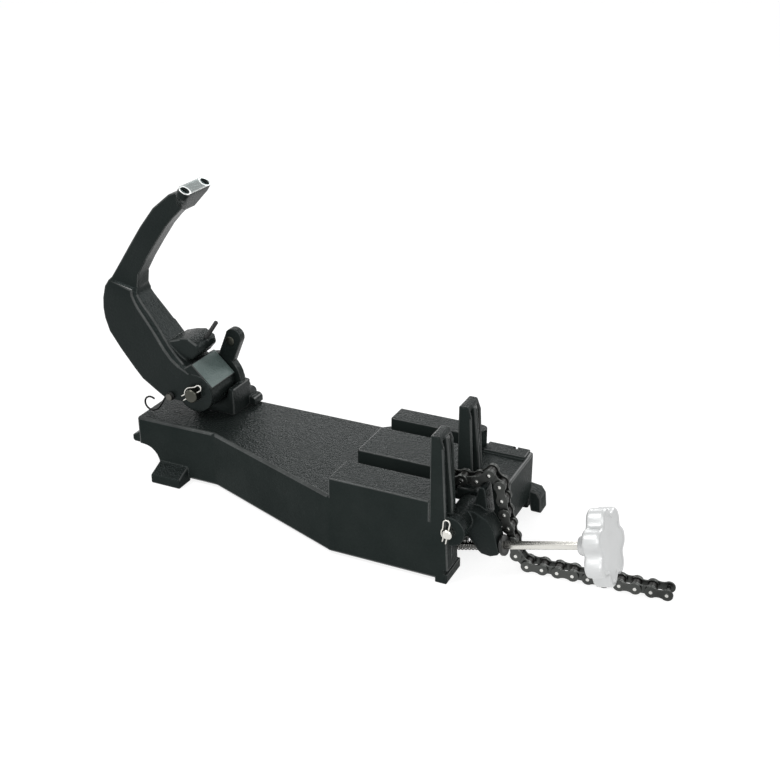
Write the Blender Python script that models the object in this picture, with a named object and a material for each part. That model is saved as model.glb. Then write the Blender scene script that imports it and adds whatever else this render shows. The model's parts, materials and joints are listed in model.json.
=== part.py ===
"""Portable band saw stand: a cast base with a chain vise and a swinging saw arm.

Sizes are in millimetres and become metres when a mesh is made.
+X runs from the rear of the base to the vise end, +Z is up, and the hand knob side is the front.
"""
import math

import bmesh
import bpy
from mathutils import Matrix, Vector

MM = 0.001

# Fits and casting walls
GAP = 0.3
RUNNING = 0.35
OVERLAP = 4.0
WALL = 7.0
EDGE_ROUND = 3.0
SOFT_EDGE = 1.5
SMALL_EDGE = 1.2
EDGE_STEPS = 2
CUT_PAST = 5.0
BORE_SIDES = 24
HOLE_SIDES = 16
SMALL_SIDES = 12
WIRE_SIDES = 8
CREASE = 35.0
WIRE_CREASE = 60.0

# Base casting, seen from above
BASE_TOP = 71.2
SKIRT_LIFT = 4.0
TOP_THICKNESS = 9.0
REAR_WIDTH = 98.7
SLANT_START = 104.2
PAD_START = 286.9
NEAR_SIDE = -68.7
FAR_SIDE = 113.0
FAR_STEP_START = 270.0
FRONT_WALL = 417.0
WING_FRONT = 447.0
WING_NEAR = 36.0
WING_STRIP_NEAR = 90.0
WING_STRIP_TOP = 74.7
APRON_BOTTOM = 16.0
REAR_LIP = 10.0
REAR_LIP_BOTTOM = 37.0
REAR_LIP_TOP = 48.0
ARCH_FRONT = 27.5
ARCH_BOTTOM = 15.0
ARCH_BACK = 5.5
LIP_CHAMFER = 3.0
LIP_RISE = 6.0
LIP_SIDE = 2.0
APRON_NEAR = -49.0
APRON_FAR_INSET = 9.0
CORNER_HOLE = (19.0, 6.0)
CORNER_HOLE_RADIUS = 3.2
CORNER_HOLE_DEPTH = 20.0

# Work pads and uprights
PAD_TOP = 92.4
PAD_END = 400.0
FAR_PAD_SETBACK = 14.0
FAR_PAD_EDGE = 1.5
FAR_PAD_ROUND = 9.0
FAR_PAD_ROUND_INSET = 11.0
GROOVE_NEAR = (-26.0, -0.8)
GROOVE_FAR = (58.7, 83.6)
UPRIGHT_REAR = 399.7
UPRIGHT_TOP = 164.8
UPRIGHT_TOP_FRONT = 409.0
UPRIGHT_SHOULDER = (413.4, 153.0)
UPRIGHT_FOOT = (421.0, 15.0)
NEAR_UPRIGHT_WIDTH = 28.0
FAR_UPRIGHT = (3.6, 33.1)
RIB_THICKNESS = 7.0
RIB_FRONT = 420.5
RIB_SEAT = 2.0
POST_WEB = 4.5
POST_FLANGE = 4.5
POST_CAP = 5.0
POST_POCKET_BOTTOM = 76.0
FOOT_HEIGHT = 18.0
FOOT_REACH = 20.0
FOOT_LENGTH = 39.0
FOOT_EDGE_SHARE = 0.6
FOOT_ROOT_SHARE = 1.2
FOOT_HOLE_SHARE = 0.55
FAR_FOOT_INSIDE = 8.0
FAR_FOOT_OUTSIDE = 12.0
FAR_FOOT_SIDE = (
    (2.0, 0.0),
    (14.5, 0.0),
    (13.0, 18.0),
    (8.0, 25.0),
    (-7.0, 27.0),
    (-7.0, 16.0),
    (0.0, 9.0),
)
FOOT_HOLE_RADIUS = 4.0
TOE_WIDTH = 38.0
TOE_DEPTH = 14.0
TOE_HEIGHT = 11.0

# Arm pivot and the bracket that carries it
PIVOT_X = 69.5
PIVOT_Z = 106.0
PIVOT_PIN_RADIUS = 8.0
HUB_RADIUS = 23.0
HUB_NEAR = 20.0
HUB_FAR = 71.0
EAR_THICKNESS = 10.0
EAR_RADIUS = 30.0
LUG_CENTRE = (91.5, 159.5)
LUG_RADIUS = 10.5
LUG_HOLE_RADIUS = 4.5
BRACKET_REAR = 48.0
BRACKET_FRONT = 102.5
BRACKET_NEAR = 49.0
BRACKET_OVERHANG = 2.3
BRACKET_FAR = REAR_WIDTH + BRACKET_OVERHANG
BRACKET_INSET = 14.0
BRACKET_TOP = 104.0
BRACKET_CREST = (6.0, 0.5)
EAR_SPREAD = 10.0
EAR_SETBACK = 2.0
LUG_THINNER = 0.5
LUG_HOLE_OFFSET = (4.5, 5.5)
STEPS = 3
STEP_RADIUS = 5.5
STEP_FIRST = (14.0, 17.5)
STEP_NEXT = (8.5, 6.0)
STEP_WIDTH = 16.0
STEP_TAPER = 0.7
STEP_REAR = 6.0
HUB_SWEEP = 1.0
HEAD_SWEEP = 1.5
PIN_NEAR_END = 10.5
PIN_HEAD_RADIUS = 12.0
PIN_HEAD_THICKNESS = 5.0
PIN_CHAMFER = 1.0
BRACKET_SCREW_RADIUS = 3.0
BRACKET_SCREW_HEAD = 5.7
BRACKET_SCREW_HEAD_HEIGHT = 4.0
BRACKET_SCREW_REACH = 9.0
BRACKET_SCREW_INSET = 10.0
BRACKET_SCREW_ROWS = (8.0, 18.0)
HAIRPIN_WIRE = 0.9
HAIRPIN_LOOP = 3.5
HAIRPIN_INSET = 3.5
HAIRPIN_LEG = 8.0
HAIRPIN_SPRUNG_LEG = 6.0
HAIRPIN_NECK = 2.5
HAIRPIN_PINCH = 0.5
HAIRPIN_FLARE = 0.55
PIVOT_HAIRPIN_LEAN = math.radians(35.0)
VISE_HAIRPIN_LEAN = math.radians(80.0)

# Saw arm: outer edge, inner edge, near and far sides and the near plate's lift at each place along it
ARM_MIDDLE = 49.0
ARM_STATIONS = (
    (54.0, 336.0, 68.0, 327.0, 41.0, 57.0, 0.3),
    (40.0, 331.0, 60.5, 320.5, 39.0, 59.0, 0.3),
    (24.0, 318.0, 44.0, 305.0, 39.0, 59.0, 0.3),
    (17.8, 313.0, 33.0, 293.0, 39.0, 59.0, 0.3),
    (-0.5, 290.0, 17.3, 271.5, 38.5, 59.5, 0.3),
    (-16.0, 268.0, 3.0, 250.6, 38.5, 59.5, 0.3),
    (-33.0, 243.0, -8.3, 232.0, 38.0, 60.0, 0.3),
    (-46.0, 224.0, -10.7, 217.0, 37.5, 60.5, 0.3),
    (-47.5, 221.5, -10.6, 214.5, 37.0, 60.6, 4.5),
    (-52.0, 214.0, -10.3, 212.0, 35.0, 61.5, 4.5),
    (-55.4, 199.5, -9.0, 208.0, 34.0, 62.0, 4.5),
    (-56.2, 187.0, -5.0, 202.0, 33.5, 62.5, 4.5),
    (-54.8, 175.0, -0.6, 196.5, 33.0, 63.0, 4.5),
    (-49.5, 159.0, 8.0, 186.6, 32.5, 63.5, 4.5),
    (-34.5, 140.0, 18.2, 174.7, 31.0, 64.0, 4.5),
    (-15.0, 120.0, 33.0, 156.0, 28.0, 65.0, 4.5),
    (-3.0, 110.0, 44.0, 146.0, 25.5, 67.0, 4.5),
    (14.0, 100.0, 54.0, 139.0, 23.0, 69.0, 3.0),
    (26.0, 92.5, 66.0, 133.0, 21.5, 70.0, 1.5),
    (60.0, 92.5, 74.0, 126.0, 21.0, 70.5, 1.0),
)
ARM_LIP = 0.90
ARM_LIP_FOOT = 0.94
PAD_FROM = (63.0, 345.6)
PAD_TO = (75.5, 337.8)
PAD_WIDTH = 53.0
PAD_THICKNESS = 8.0
SLOT_LENGTH = 9.0
SLOT_HALF = 2.75
SLOT_INSET = 7.0
SLOT_SPACING = PAD_WIDTH - 2.0 * SLOT_INSET
HUB_FLAT = ((66.7, 141.4), (93.3, 116.0))
HUB_FLAT_REAR = (46.0, 128.0)
HUB_FLAT_GAP = 1.4
HUB_FLAT_EDGE = 1.0
CROSS_BAR = (
    (30.0, 160.0),
    (46.0, 165.0),
    (58.0, 167.0),
    (69.0, 161.0),
    (71.0, 152.0),
    (62.7, 142.0),
    (40.0, 138.0),
)
CROSS_BAR_NEAR = 31.0
CROSS_BAR_SETBACK = 1.0
CROSS_BAR_EDGE = 2.0
HEAD_NECK = (0.9, 0.45, 26.0)
SLOT_DEPTH = 14.0
STUD_ROOT = (66.5, 55.0, 161.5)
STUD_LEAN = 55.0
STUD_RADIUS = 2.6
STUD_DEPTH = 12.0
STUD_HEIGHT = 27.0
STUD_CHAMFER = 1.0
HOOK_PIVOT = (37.0, 97.0)
HOOK_NEAR = 18.0
HOOK_SCREW_RADIUS = 2.4
HOOK_SCREW_END = 34.0
HOOK_SCREW_HEAD = (4.0, 4.6, 2.4)
HOOK_SCREW_STAND = 4.0
HOOK_WIRE = 1.25
HOOK_FOOT = (13.0, 74.0)
HOOK_LOOP = 8.5
HOOK_SPREAD = -0.3

# Chain vise
VISE_PIN_X = 421.0
VISE_PIN_Z = 61.5
VISE_PIN_RADIUS = 5.2
VISE_PIN_HEAD = 8.0
VISE_EAR_RADIUS = 16.0
VISE_EAR_NEAR = (-66.0, -55.0)
VISE_EAR_FAR = (-5.0, 6.0)
VISE_OPENING_NEAR = -41.0
VISE_PIN_NEAR_END = -74.0
YOKE_HUB_RADIUS = 13.0
YOKE_CHEEKS = (-38.0, -17.0)
YOKE_HORN = (-24.0, -6.0)
YOKE_BORE_RADIUS = 5.6
YOKE_SWEEP = 2.0
YOKE_FRONT_RADIUS = 30.0
HORN_ROOT = (428.0, 446.0)
HORN_TIP = (438.0, 90.5)
HORN_TIP_RADIUS = 3.5
YOKE_SIDE = (
    (421.0, 50.0),
    (427.9, 43.9),
    (435.7, 36.5),
    (440.3, 29.4),
    (444.8, 25.8),
    (454.5, 24.9),
    (462.0, 28.1),
    (464.5, 32.2),
    (459.0, 53.0),
    (449.8, 66.1),
    (436.0, 73.0),
    (421.0, 72.0),
)
SCREW_Y = -27.5
SCREW_RADIUS = 3.7
SCREW_TAIL = 14.0
ROD_RADIUS = 4.3
ROD_IN_KNOB = 4.0
NUT_X = 405.0
NUT_Z = 20.2
NUT_RADIUS = 8.0
COLLAR_X = 463.1
COLLAR_Z = 35.3
COLLAR_RADIUS = 11.0
COLLAR_THICKNESS = 4.0
COLLAR_CHAMFER = 0.8
COLLAR_GAP = 0.8
KNOB_RADIUS = 40.0
KNOB_LOBES = 7
KNOB_LOBE_POINTS = 10
KNOB_PHASE = 19.0
KNOB_LOBE_DEPTH = 7.4
KNOB_THICKNESS = 19.0
KNOB_LOBE_POWER = 1.5
KNOB_BOSS = ((8.0, 15.0), (9.5, 14.0), (12.5, 2.0))
KNOB_BACK_SHARE = 0.62
KNOB_RIM_SHARE = 0.93
KNOB_FACE_SHARE = 0.7
KNOB_DISH = 1.0
KNOB_EDGE = 3.0
KNOB_DISTANCE = 107.5
SPRING_RADIUS = 5.0
SPRING_WIRE = 0.85
SPRING_COILS = 6
SPRING_POINTS = 9
SPRING_END = 34.0
NUT_SEAT = 4.0
NUT_LUG_WIDTH = 14.0
NUT_LUG_LOW = (12.0, 13.0)
NUT_LUG_HIGH = (10.0, 18.0)
SPRING_ROOM = 1.2

# Roller chain
CHAIN_PITCH = 15.875
ROLLER_RADIUS = 5.08
CHAIN_PIN_RADIUS = 2.54
PLATE = 2.03
PLATE_GAP = 0.35
INNER_WIDTH = 8.6
PLATE_HEAD = 6.4
PLATE_WAIST = 4.3
RIVET = 0.6
CHAIN_YAW = 0.072
CHAIN_Y_AT = (486.0, -4.7)
CHAIN_ANCHOR = (386.0, 80.0)
CHAIN_FLOOR_PIN = 6.7
HANGING_HEADINGS = (45.0, 8.0, 7.0, 36.0, -44.0, -79.0, -79.0, -72.5, -72.5, -72.5)
FLOOR_LINKS = 9
LOOSE_LINKS = 2
ANCHOR_SEAT = 9.0
ANCHOR_PIN_RADIUS = 2.2

MATERIALS = {}
NODES = []


def material(name, colour, metallic, roughness):
    """One Principled material for each named finish."""
    if name not in MATERIALS:
        made = bpy.data.materials.new(name)
        made.use_nodes = True
        shader = made.node_tree.nodes["Principled BSDF"]
        shader.inputs["Base Color"].default_value = (*colour, 1.0)
        shader.inputs["Metallic"].default_value = metallic
        shader.inputs["Roughness"].default_value = roughness
        MATERIALS[name] = made
    return MATERIALS[name]


def add_object(name, shape):
    """Turn a bmesh in millimetres into an object in metres."""
    bmesh.ops.recalc_face_normals(shape, faces=shape.faces)
    bmesh.ops.scale(shape, vec=(MM, MM, MM), verts=shape.verts)
    mesh = bpy.data.meshes.new(name)
    shape.to_mesh(mesh)
    shape.free()
    made = bpy.data.objects.new(name, mesh)
    bpy.context.scene.collection.objects.link(made)
    return made


def place(axis, flat, along):
    """A point of an outline drawn across the named axis."""
    if axis == "X":
        return Vector((along, flat[0], flat[1]))
    if axis == "Y":
        return Vector((flat[0], along, flat[1]))
    return Vector((flat[0], flat[1], along))


def loft(rings, name="piece"):
    """Skin a row of equal rings and close both ends."""
    shape = bmesh.new()
    rows = [[shape.verts.new(point) for point in ring] for ring in rings]
    count = len(rows[0])
    for low, high in zip(rows, rows[1:]):
        for index in range(count):
            after = (index + 1) % count
            shape.faces.new((low[index], low[after], high[after], high[index]))
    shape.faces.new(rows[0])
    shape.faces.new(rows[-1])
    return add_object(name, shape)


def prism(outline, axis, low, high, name="piece"):
    """An outline pushed along one axis."""
    rings = [[place(axis, point, along) for point in outline] for along in (low, high)]
    return loft(rings, name)


def box(low, high, name="piece"):
    """A plain block between two corners."""
    corners = ((low[0], low[1]), (high[0], low[1]), (high[0], high[1]), (low[0], high[1]))
    return prism(corners, "Z", low[2], high[2], name)


def arc(centre, radius, start, end, steps):
    """Points on an arc, angles in degrees."""
    points = []
    for index in range(steps + 1):
        angle = math.radians(start + (end - start) * index / steps)
        points.append((centre[0] + radius * math.cos(angle), centre[1] + radius * math.sin(angle)))
    return points


def circle(centre, radius, sides):
    """A closed round outline."""
    return arc(centre, radius, 0.0, 360.0, sides)[:-1]


def drum(centre, radius, axis, low, high, sides=32, name="piece"):
    """A round bar along one axis."""
    return prism(circle(centre, radius, sides), axis, low, high, name)


def turned(profile, start, direction, sides, name="piece"):
    """A round piece from (distance, radius) pairs along a direction."""
    turn = direction.to_track_quat("Z", "Y")
    rings = []
    for distance, radius in profile:
        ring = []
        for index in range(sides):
            angle = 2.0 * math.pi * index / sides
            spoke = Vector((radius * math.cos(angle), radius * math.sin(angle), distance))
            ring.append(start + turn @ spoke)
        rings.append(ring)
    return loft(rings, name)


def wire(path, radius, sides=WIRE_SIDES, name="piece"):
    """A round wire along a path, with its rings carried from point to point."""
    spots = [Vector(point) for point in path]
    tangents = []
    for index, spot in enumerate(spots):
        before = spots[max(index - 1, 0)]
        after = spots[min(index + 1, len(spots) - 1)]
        tangents.append((after - before).normalized())
    across = tangents[0].orthogonal().normalized()
    rings = []
    for spot, tangent in zip(spots, tangents):
        across = (across - tangent * across.dot(tangent)).normalized()
        other = tangent.cross(across)
        ring = []
        for index in range(sides):
            angle = 2.0 * math.pi * index / sides
            ring.append(spot + radius * (math.cos(angle) * across + math.sin(angle) * other))
        rings.append(ring)
    return loft(rings, name)


def settle(target):
    """Swap an object's mesh for what its modifiers make of it."""
    bpy.context.view_layer.update()
    graph = bpy.context.evaluated_depsgraph_get()
    finished = bpy.data.meshes.new_from_object(target.evaluated_get(graph))
    target.modifiers.clear()
    old = target.data
    target.data = finished
    bpy.data.meshes.remove(old)


def combine(target, tools, operation):
    """Apply one exact Boolean for each tool and remove the tool."""
    for tool in tools:
        tool.hide_render = True
        tool.display_type = "WIRE"
        change = target.modifiers.new("combine", "BOOLEAN")
        change.operation = operation
        change.solver = "EXACT"
        change.object = tool
        settle(target)
        shape = tool.data
        bpy.data.objects.remove(tool)
        bpy.data.meshes.remove(shape)
    return target


def fuse(target, *tools):
    """Join solids into one body."""
    return combine(target, tools, "UNION")


def cut(target, *tools):
    """Take solids away from a body."""
    return combine(target, tools, "DIFFERENCE")


def soften(target, width, segments=1, limit=50.0):
    """Round the sharp edges of a piece before it is fused."""
    rounding = target.modifiers.new("soften", "BEVEL")
    rounding.width = width * MM
    rounding.segments = segments
    rounding.limit_method = "ANGLE"
    rounding.angle_limit = math.radians(limit)
    settle(target)
    return target


def node(name, target, finish, smooth=None):
    """Name a finished piece, give it its material and shading."""
    target.name = name
    target.data.name = name
    target.data.materials.clear()
    target.data.materials.append(finish)
    if smooth is not None:
        target.data.shade_smooth()
        target.data.set_sharp_from_angle(angle=math.radians(smooth))
    NODES.append(target)
    return target


def inset(outline, distance):
    """Move every side of an anticlockwise outline inward."""
    moved = []
    count = len(outline)
    for index in range(count):
        here = Vector(outline[index])
        back = (here - Vector(outline[index - 1])).normalized()
        ahead = (Vector(outline[(index + 1) % count]) - here).normalized()
        back_in = Vector((-back.y, back.x))
        ahead_in = Vector((-ahead.y, ahead.x))
        middle = (back_in + ahead_in).normalized()
        moved.append(tuple(here + middle * (distance / middle.dot(back_in))))
    return moved


def upright(near, far, foot):
    """A post with a raised rear edge, its front face sloping out toward the foot."""
    side = [
        (UPRIGHT_REAR, foot),
        UPRIGHT_FOOT,
        UPRIGHT_SHOULDER,
        (UPRIGHT_TOP_FRONT, UPRIGHT_TOP),
        (UPRIGHT_REAR, UPRIGHT_TOP),
    ]
    post = soften(prism(side, "Y", near, far), SOFT_EDGE, EDGE_STEPS)
    low = (UPRIGHT_REAR + POST_WEB, near + POST_FLANGE, POST_POCKET_BOTTOM)
    high = (UPRIGHT_FOOT[0] + OVERLAP, far - POST_FLANGE, UPRIGHT_TOP - POST_CAP)
    cut(post, box(low, high))
    middle = (near + far) / 2.0
    rib = [
        (UPRIGHT_REAR + RIB_SEAT, APRON_BOTTOM + OVERLAP),
        (RIB_FRONT, APRON_BOTTOM + OVERLAP),
        (RIB_FRONT, PAD_TOP),
        (UPRIGHT_SHOULDER[0], UPRIGHT_TOP - OVERLAP),
        (UPRIGHT_REAR + RIB_SEAT, UPRIGHT_TOP - OVERLAP),
    ]
    low = middle - RIB_THICKNESS / 2.0
    return fuse(post, prism(rib, "Y", low, low + RIB_THICKNESS))


def foot_lug(start, end, wall, reach):
    """A bench foot standing out of a side wall, with a sloping top and a screw hole."""
    out = wall + reach
    inside = wall - math.copysign(OVERLAP, reach)
    edge = FOOT_HEIGHT * FOOT_EDGE_SHARE
    root = FOOT_HEIGHT * FOOT_ROOT_SHARE
    profile = [(inside, 0.0), (out, 0.0), (out, edge), (inside, root)]
    lug = soften(prism(profile, "X", start, end), SOFT_EDGE, EDGE_STEPS)
    hole = ((start + end) / 2.0, wall + reach * FOOT_HOLE_SHARE)
    return cut(lug, drum(hole, FOOT_HOLE_RADIUS, "Z", -CUT_PAST, root + CUT_PAST, HOLE_SIDES))


def base_casting():
    """The skirted table with its pads, uprights, vise ears and feet."""
    outline = [
        (0.0, 0.0),
        (SLANT_START, 0.0),
        (PAD_START, NEAR_SIDE),
        (FRONT_WALL, NEAR_SIDE),
        (FRONT_WALL, WING_NEAR),
        (WING_FRONT, WING_NEAR),
        (WING_FRONT, FAR_SIDE),
        (PAD_START, FAR_SIDE),
        (FAR_STEP_START, REAR_WIDTH),
        (0.0, REAR_WIDTH),
    ]
    casting = soften(prism(outline, "Z", SKIRT_LIFT, BASE_TOP), EDGE_ROUND, EDGE_STEPS, 12.0)

    # Raised pads with the two grooves between them, and a round end on the far pad.
    bottom = BASE_TOP - OVERLAP
    far_end = PAD_END - FAR_PAD_SETBACK
    pads = [
        box((PAD_START, NEAR_SIDE, bottom), (PAD_END, GROOVE_NEAR[0], PAD_TOP)),
        box((PAD_START, GROOVE_NEAR[1], bottom), (PAD_END, GROOVE_FAR[0], PAD_TOP)),
        box((PAD_START, GROOVE_FAR[1], bottom), (far_end, FAR_SIDE - FAR_PAD_EDGE, PAD_TOP)),
    ]
    for pad in pads:
        fuse(casting, soften(pad, SOFT_EDGE, EDGE_STEPS))
    round_end = (far_end, FAR_SIDE - FAR_PAD_ROUND_INSET)
    fuse(casting, drum(round_end, FAR_PAD_ROUND, "Z", bottom, PAD_TOP, BORE_SIDES))

    # Uprights, vise ears and the web under the far ear.
    near_post = upright(NEAR_SIDE, NEAR_SIDE + NEAR_UPRIGHT_WIDTH, APRON_BOTTOM)
    far_post = upright(FAR_UPRIGHT[0], FAR_UPRIGHT[1], APRON_BOTTOM)
    fuse(casting, near_post, far_post)
    strip_low = (PAD_END - OVERLAP, WING_STRIP_NEAR, bottom)
    strip_high = (WING_FRONT - EDGE_ROUND, FAR_SIDE - EDGE_ROUND, WING_STRIP_TOP)
    fuse(casting, soften(box(strip_low, strip_high), SMALL_EDGE, EDGE_STEPS))
    centre = (VISE_PIN_X, VISE_PIN_Z)
    for near, far in (VISE_EAR_NEAR, VISE_EAR_FAR):
        lobe = arc(centre, VISE_EAR_RADIUS, -90.0, 90.0, 12)
        rear = FRONT_WALL - WALL * 2.0
        lobe += [(rear, VISE_PIN_Z + VISE_EAR_RADIUS), (rear, VISE_PIN_Z - VISE_EAR_RADIUS)]
        fuse(casting, prism(lobe, "Y", near, far))

    # Feet and the rear carrying lip.
    for wall, reach in ((0.0, -FOOT_REACH), (REAR_WIDTH, FOOT_REACH)):
        fuse(casting, foot_lug(ARCH_FRONT, ARCH_FRONT + FOOT_LENGTH, wall, reach))
    far_foot = [(WING_FRONT + ahead, height) for ahead, height in FAR_FOOT_SIDE]
    fuse(casting, prism(far_foot, "Y", FAR_SIDE - FAR_FOOT_INSIDE, FAR_SIDE + FAR_FOOT_OUTSIDE))
    lip = [
        (OVERLAP, REAR_LIP_BOTTOM),
        (LIP_CHAMFER - REAR_LIP, REAR_LIP_BOTTOM),
        (-REAR_LIP, REAR_LIP_BOTTOM + LIP_CHAMFER),
        (-REAR_LIP, REAR_LIP_TOP - LIP_CHAMFER),
        (-REAR_LIP / 3.0, REAR_LIP_TOP),
        (OVERLAP, REAR_LIP_TOP + LIP_RISE),
    ]
    fuse(casting, prism(lip, "Y", LIP_SIDE, REAR_WIDTH - LIP_SIDE))

    # The hollow underneath, the raised rear arch and the open front.
    inner = inset(outline, WALL)
    cut(casting, prism(inner, "Z", -CUT_PAST, BASE_TOP - TOP_THICKNESS))
    pad_inside = PAD_TOP - TOP_THICKNESS
    pad_low = BASE_TOP - TOP_THICKNESS - 1.0
    pad_spans = (
        (NEAR_SIDE + WALL, GROOVE_NEAR[0] - WALL),
        (GROOVE_NEAR[1] + WALL, GROOVE_FAR[0] - WALL),
    )
    for near, far in pad_spans:
        low = (PAD_START + WALL, near, pad_low)
        cut(casting, box(low, (PAD_END - WALL, far, pad_inside)))
    bend = arc((ARCH_BACK, ARCH_BOTTOM), REAR_LIP_BOTTOM - ARCH_BOTTOM, 90.0, 0.0, 6)
    behind = -REAR_LIP - CUT_PAST
    arch = [(behind, -CUT_PAST), (bend[-1][0], -CUT_PAST)] + bend[::-1] + [(behind, REAR_LIP_BOTTOM)]
    side = FOOT_REACH + CUT_PAST
    cut(casting, prism(arch, "Y", -side, REAR_WIDTH + side))
    front = WING_FRONT + CUT_PAST
    apron_low = (FRONT_WALL - WALL - 1.0, APRON_NEAR, -CUT_PAST)
    cut(casting, box(apron_low, (front, FAR_SIDE - APRON_FAR_INSET, APRON_BOTTOM)))
    opening_low = (UPRIGHT_REAR - WALL, VISE_OPENING_NEAR, -CUT_PAST)
    opening_high = (front, VISE_EAR_FAR[0], BASE_TOP + SOFT_EDGE)
    cut(casting, box(opening_low, opening_high))
    recess = YOKE_HUB_RADIUS + YOKE_SWEEP
    cut(casting, drum(centre, recess, "Y", VISE_EAR_NEAR[1], VISE_EAR_FAR[0], BORE_SIDES))

    # The toe under the near front corner.
    toe_low = (UPRIGHT_FOOT[0] - TOE_DEPTH, NEAR_SIDE, 0.0)
    toe_high = (UPRIGHT_FOOT[0] - 1.0, NEAR_SIDE + TOE_WIDTH, TOE_HEIGHT)
    fuse(casting, soften(box(toe_low, toe_high), SMALL_EDGE, EDGE_STEPS))

    # The lug walls that carry the swivel nut, the pin holes and the chain anchor hole.
    walls = ((VISE_OPENING_NEAR - NUT_LUG_WIDTH, VISE_OPENING_NEAR), VISE_EAR_FAR)
    for near, far in walls:
        low = (NUT_X - NUT_LUG_LOW[0], near, NUT_Z - NUT_LUG_LOW[1])
        fuse(casting, box(low, (NUT_X + NUT_LUG_HIGH[0], far, NUT_Z + NUT_LUG_HIGH[1])))
    trunnion = (NUT_X, NUT_Z)
    seat = NUT_RADIUS + RUNNING
    low = VISE_OPENING_NEAR - NUT_SEAT - GAP
    cut(casting, drum(trunnion, seat, "Y", low, VISE_EAR_FAR[0] + NUT_SEAT + GAP, BORE_SIDES))
    bore = VISE_PIN_RADIUS + RUNNING
    cut(casting, drum(centre, bore, "Y", NEAR_SIDE - CUT_PAST, VISE_EAR_FAR[1] + CUT_PAST, BORE_SIDES))
    pocket = VISE_PIN_HEAD + HEAD_SWEEP
    far = VISE_EAR_FAR[1] + PIN_HEAD_THICKNESS + HEAD_SWEEP
    cut(casting, drum(centre, pocket, "Y", VISE_EAR_FAR[1], far, BORE_SIDES))
    hole = (WING_FRONT - CORNER_HOLE[0], FAR_SIDE - CORNER_HOLE[1])
    low = BASE_TOP - CORNER_HOLE_DEPTH
    cut(casting, drum(hole, CORNER_HOLE_RADIUS, "Z", low, BASE_TOP + CUT_PAST, HOLE_SIDES))
    anchor_near = GROOVE_NEAR[0] - ANCHOR_SEAT - GAP
    anchor_far = GROOVE_NEAR[1] + ANCHOR_SEAT + GAP
    bore = ANCHOR_PIN_RADIUS + RUNNING
    cut(casting, drum(CHAIN_ANCHOR, bore, "Y", anchor_near, anchor_far, HOLE_SIDES))
    under = BASE_TOP - TOP_THICKNESS - CUT_PAST
    for spot in bracket_screw_spots():
        bore = BRACKET_SCREW_RADIUS + RUNNING
        cut(casting, drum(spot, bore, "Z", under, BASE_TOP + CUT_PAST, HOLE_SIDES))
    return node("base_casting", casting, PAINT, CREASE)


def pivot_bracket():
    """The block bolted on the rear of the base, with the ear that holds the pivot pin."""
    low = BASE_TOP + GAP
    side = [
        (BRACKET_REAR, low),
        (BRACKET_FRONT, low),
        (BRACKET_FRONT, BRACKET_TOP),
        (BRACKET_FRONT - BRACKET_CREST[0], BRACKET_TOP + BRACKET_CREST[1]),
        (BRACKET_REAR, BRACKET_TOP),
    ]
    block = prism(side, "Y", BRACKET_NEAR, BRACKET_FAR - BRACKET_INSET)
    bracket = soften(block, SOFT_EDGE, EDGE_STEPS)
    ear_near = HUB_FAR + 2.0 * GAP
    ear_far = ear_near + EAR_THICKNESS
    pivot = (PIVOT_X, PIVOT_Z)
    ear = arc(pivot, EAR_RADIUS, -EAR_SPREAD, 180.0 + EAR_SPREAD, 20)
    ear.append((BRACKET_REAR + EAR_SETBACK, low + OVERLAP))
    ear.append((BRACKET_FRONT - EAR_SETBACK, low + OVERLAP))
    fuse(bracket, prism(ear, "Y", ear_near, ear_far))
    reach = Vector(LUG_CENTRE) - Vector(pivot)
    heading = math.degrees(math.atan2(reach.y, reach.x))
    lug = arc(LUG_CENTRE, LUG_RADIUS, heading - 90.0, heading + 90.0, 12)
    lug += arc(pivot, LUG_RADIUS, heading + 90.0, heading + 270.0, 8)
    fuse(bracket, prism(lug, "Y", ear_near + LUG_THINNER, ear_far - LUG_THINNER))
    rear = BRACKET_REAR + STEP_REAR
    for step in range(STEPS):
        ahead = BRACKET_FRONT - STEP_FIRST[0] + STEP_NEXT[0] * step
        centre = (ahead, BASE_TOP + STEP_FIRST[1] - STEP_NEXT[1] * step)
        tread = [(rear, low), (ahead + STEP_RADIUS, low)]
        tread += arc(centre, STEP_RADIUS, 0.0, 90.0, 5)
        tread.append((rear, centre[1] + STEP_RADIUS))
        near = BRACKET_FAR - STEP_WIDTH - step
        fuse(bracket, prism(tread, "Y", near, BRACKET_FAR - STEP_TAPER * step))

    # Room for the arm's hub, the shelf it rests on, and the holes.
    near = BRACKET_NEAR - CUT_PAST
    beyond = BRACKET_FAR + CUT_PAST
    sweep = (Vector(HUB_FLAT[1]) - Vector(pivot)).length + HUB_SWEEP
    cut(bracket, drum(pivot, sweep, "Y", near, ear_near, 40))
    shelf = ARM_STATIONS[-1][1] - GAP
    cut(bracket, box((BRACKET_REAR - CUT_PAST, near, shelf), (PIVOT_X, ear_near, PIVOT_Z)))
    cut(bracket, drum(pivot, PIVOT_PIN_RADIUS + RUNNING, "Y", ear_near - CUT_PAST, beyond, BORE_SIDES))
    cut(bracket, drum(pivot, PIN_HEAD_RADIUS + HEAD_SWEEP, "Y", ear_far, beyond, BORE_SIDES))
    hole = (LUG_CENTRE[0] - LUG_HOLE_OFFSET[0], LUG_CENTRE[1] - LUG_HOLE_OFFSET[1])
    cut(bracket, drum(hole, LUG_HOLE_RADIUS, "Y", ear_near - CUT_PAST, ear_far + CUT_PAST, HOLE_SIDES))
    bore = BRACKET_SCREW_RADIUS + RUNNING
    top = BASE_TOP + BRACKET_SCREW_REACH + GAP
    for spot in bracket_screw_spots():
        cut(bracket, drum(spot, bore, "Z", low - CUT_PAST, top, HOLE_SIDES))
    return node("pivot_bracket", bracket, PAINT, CREASE)


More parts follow.
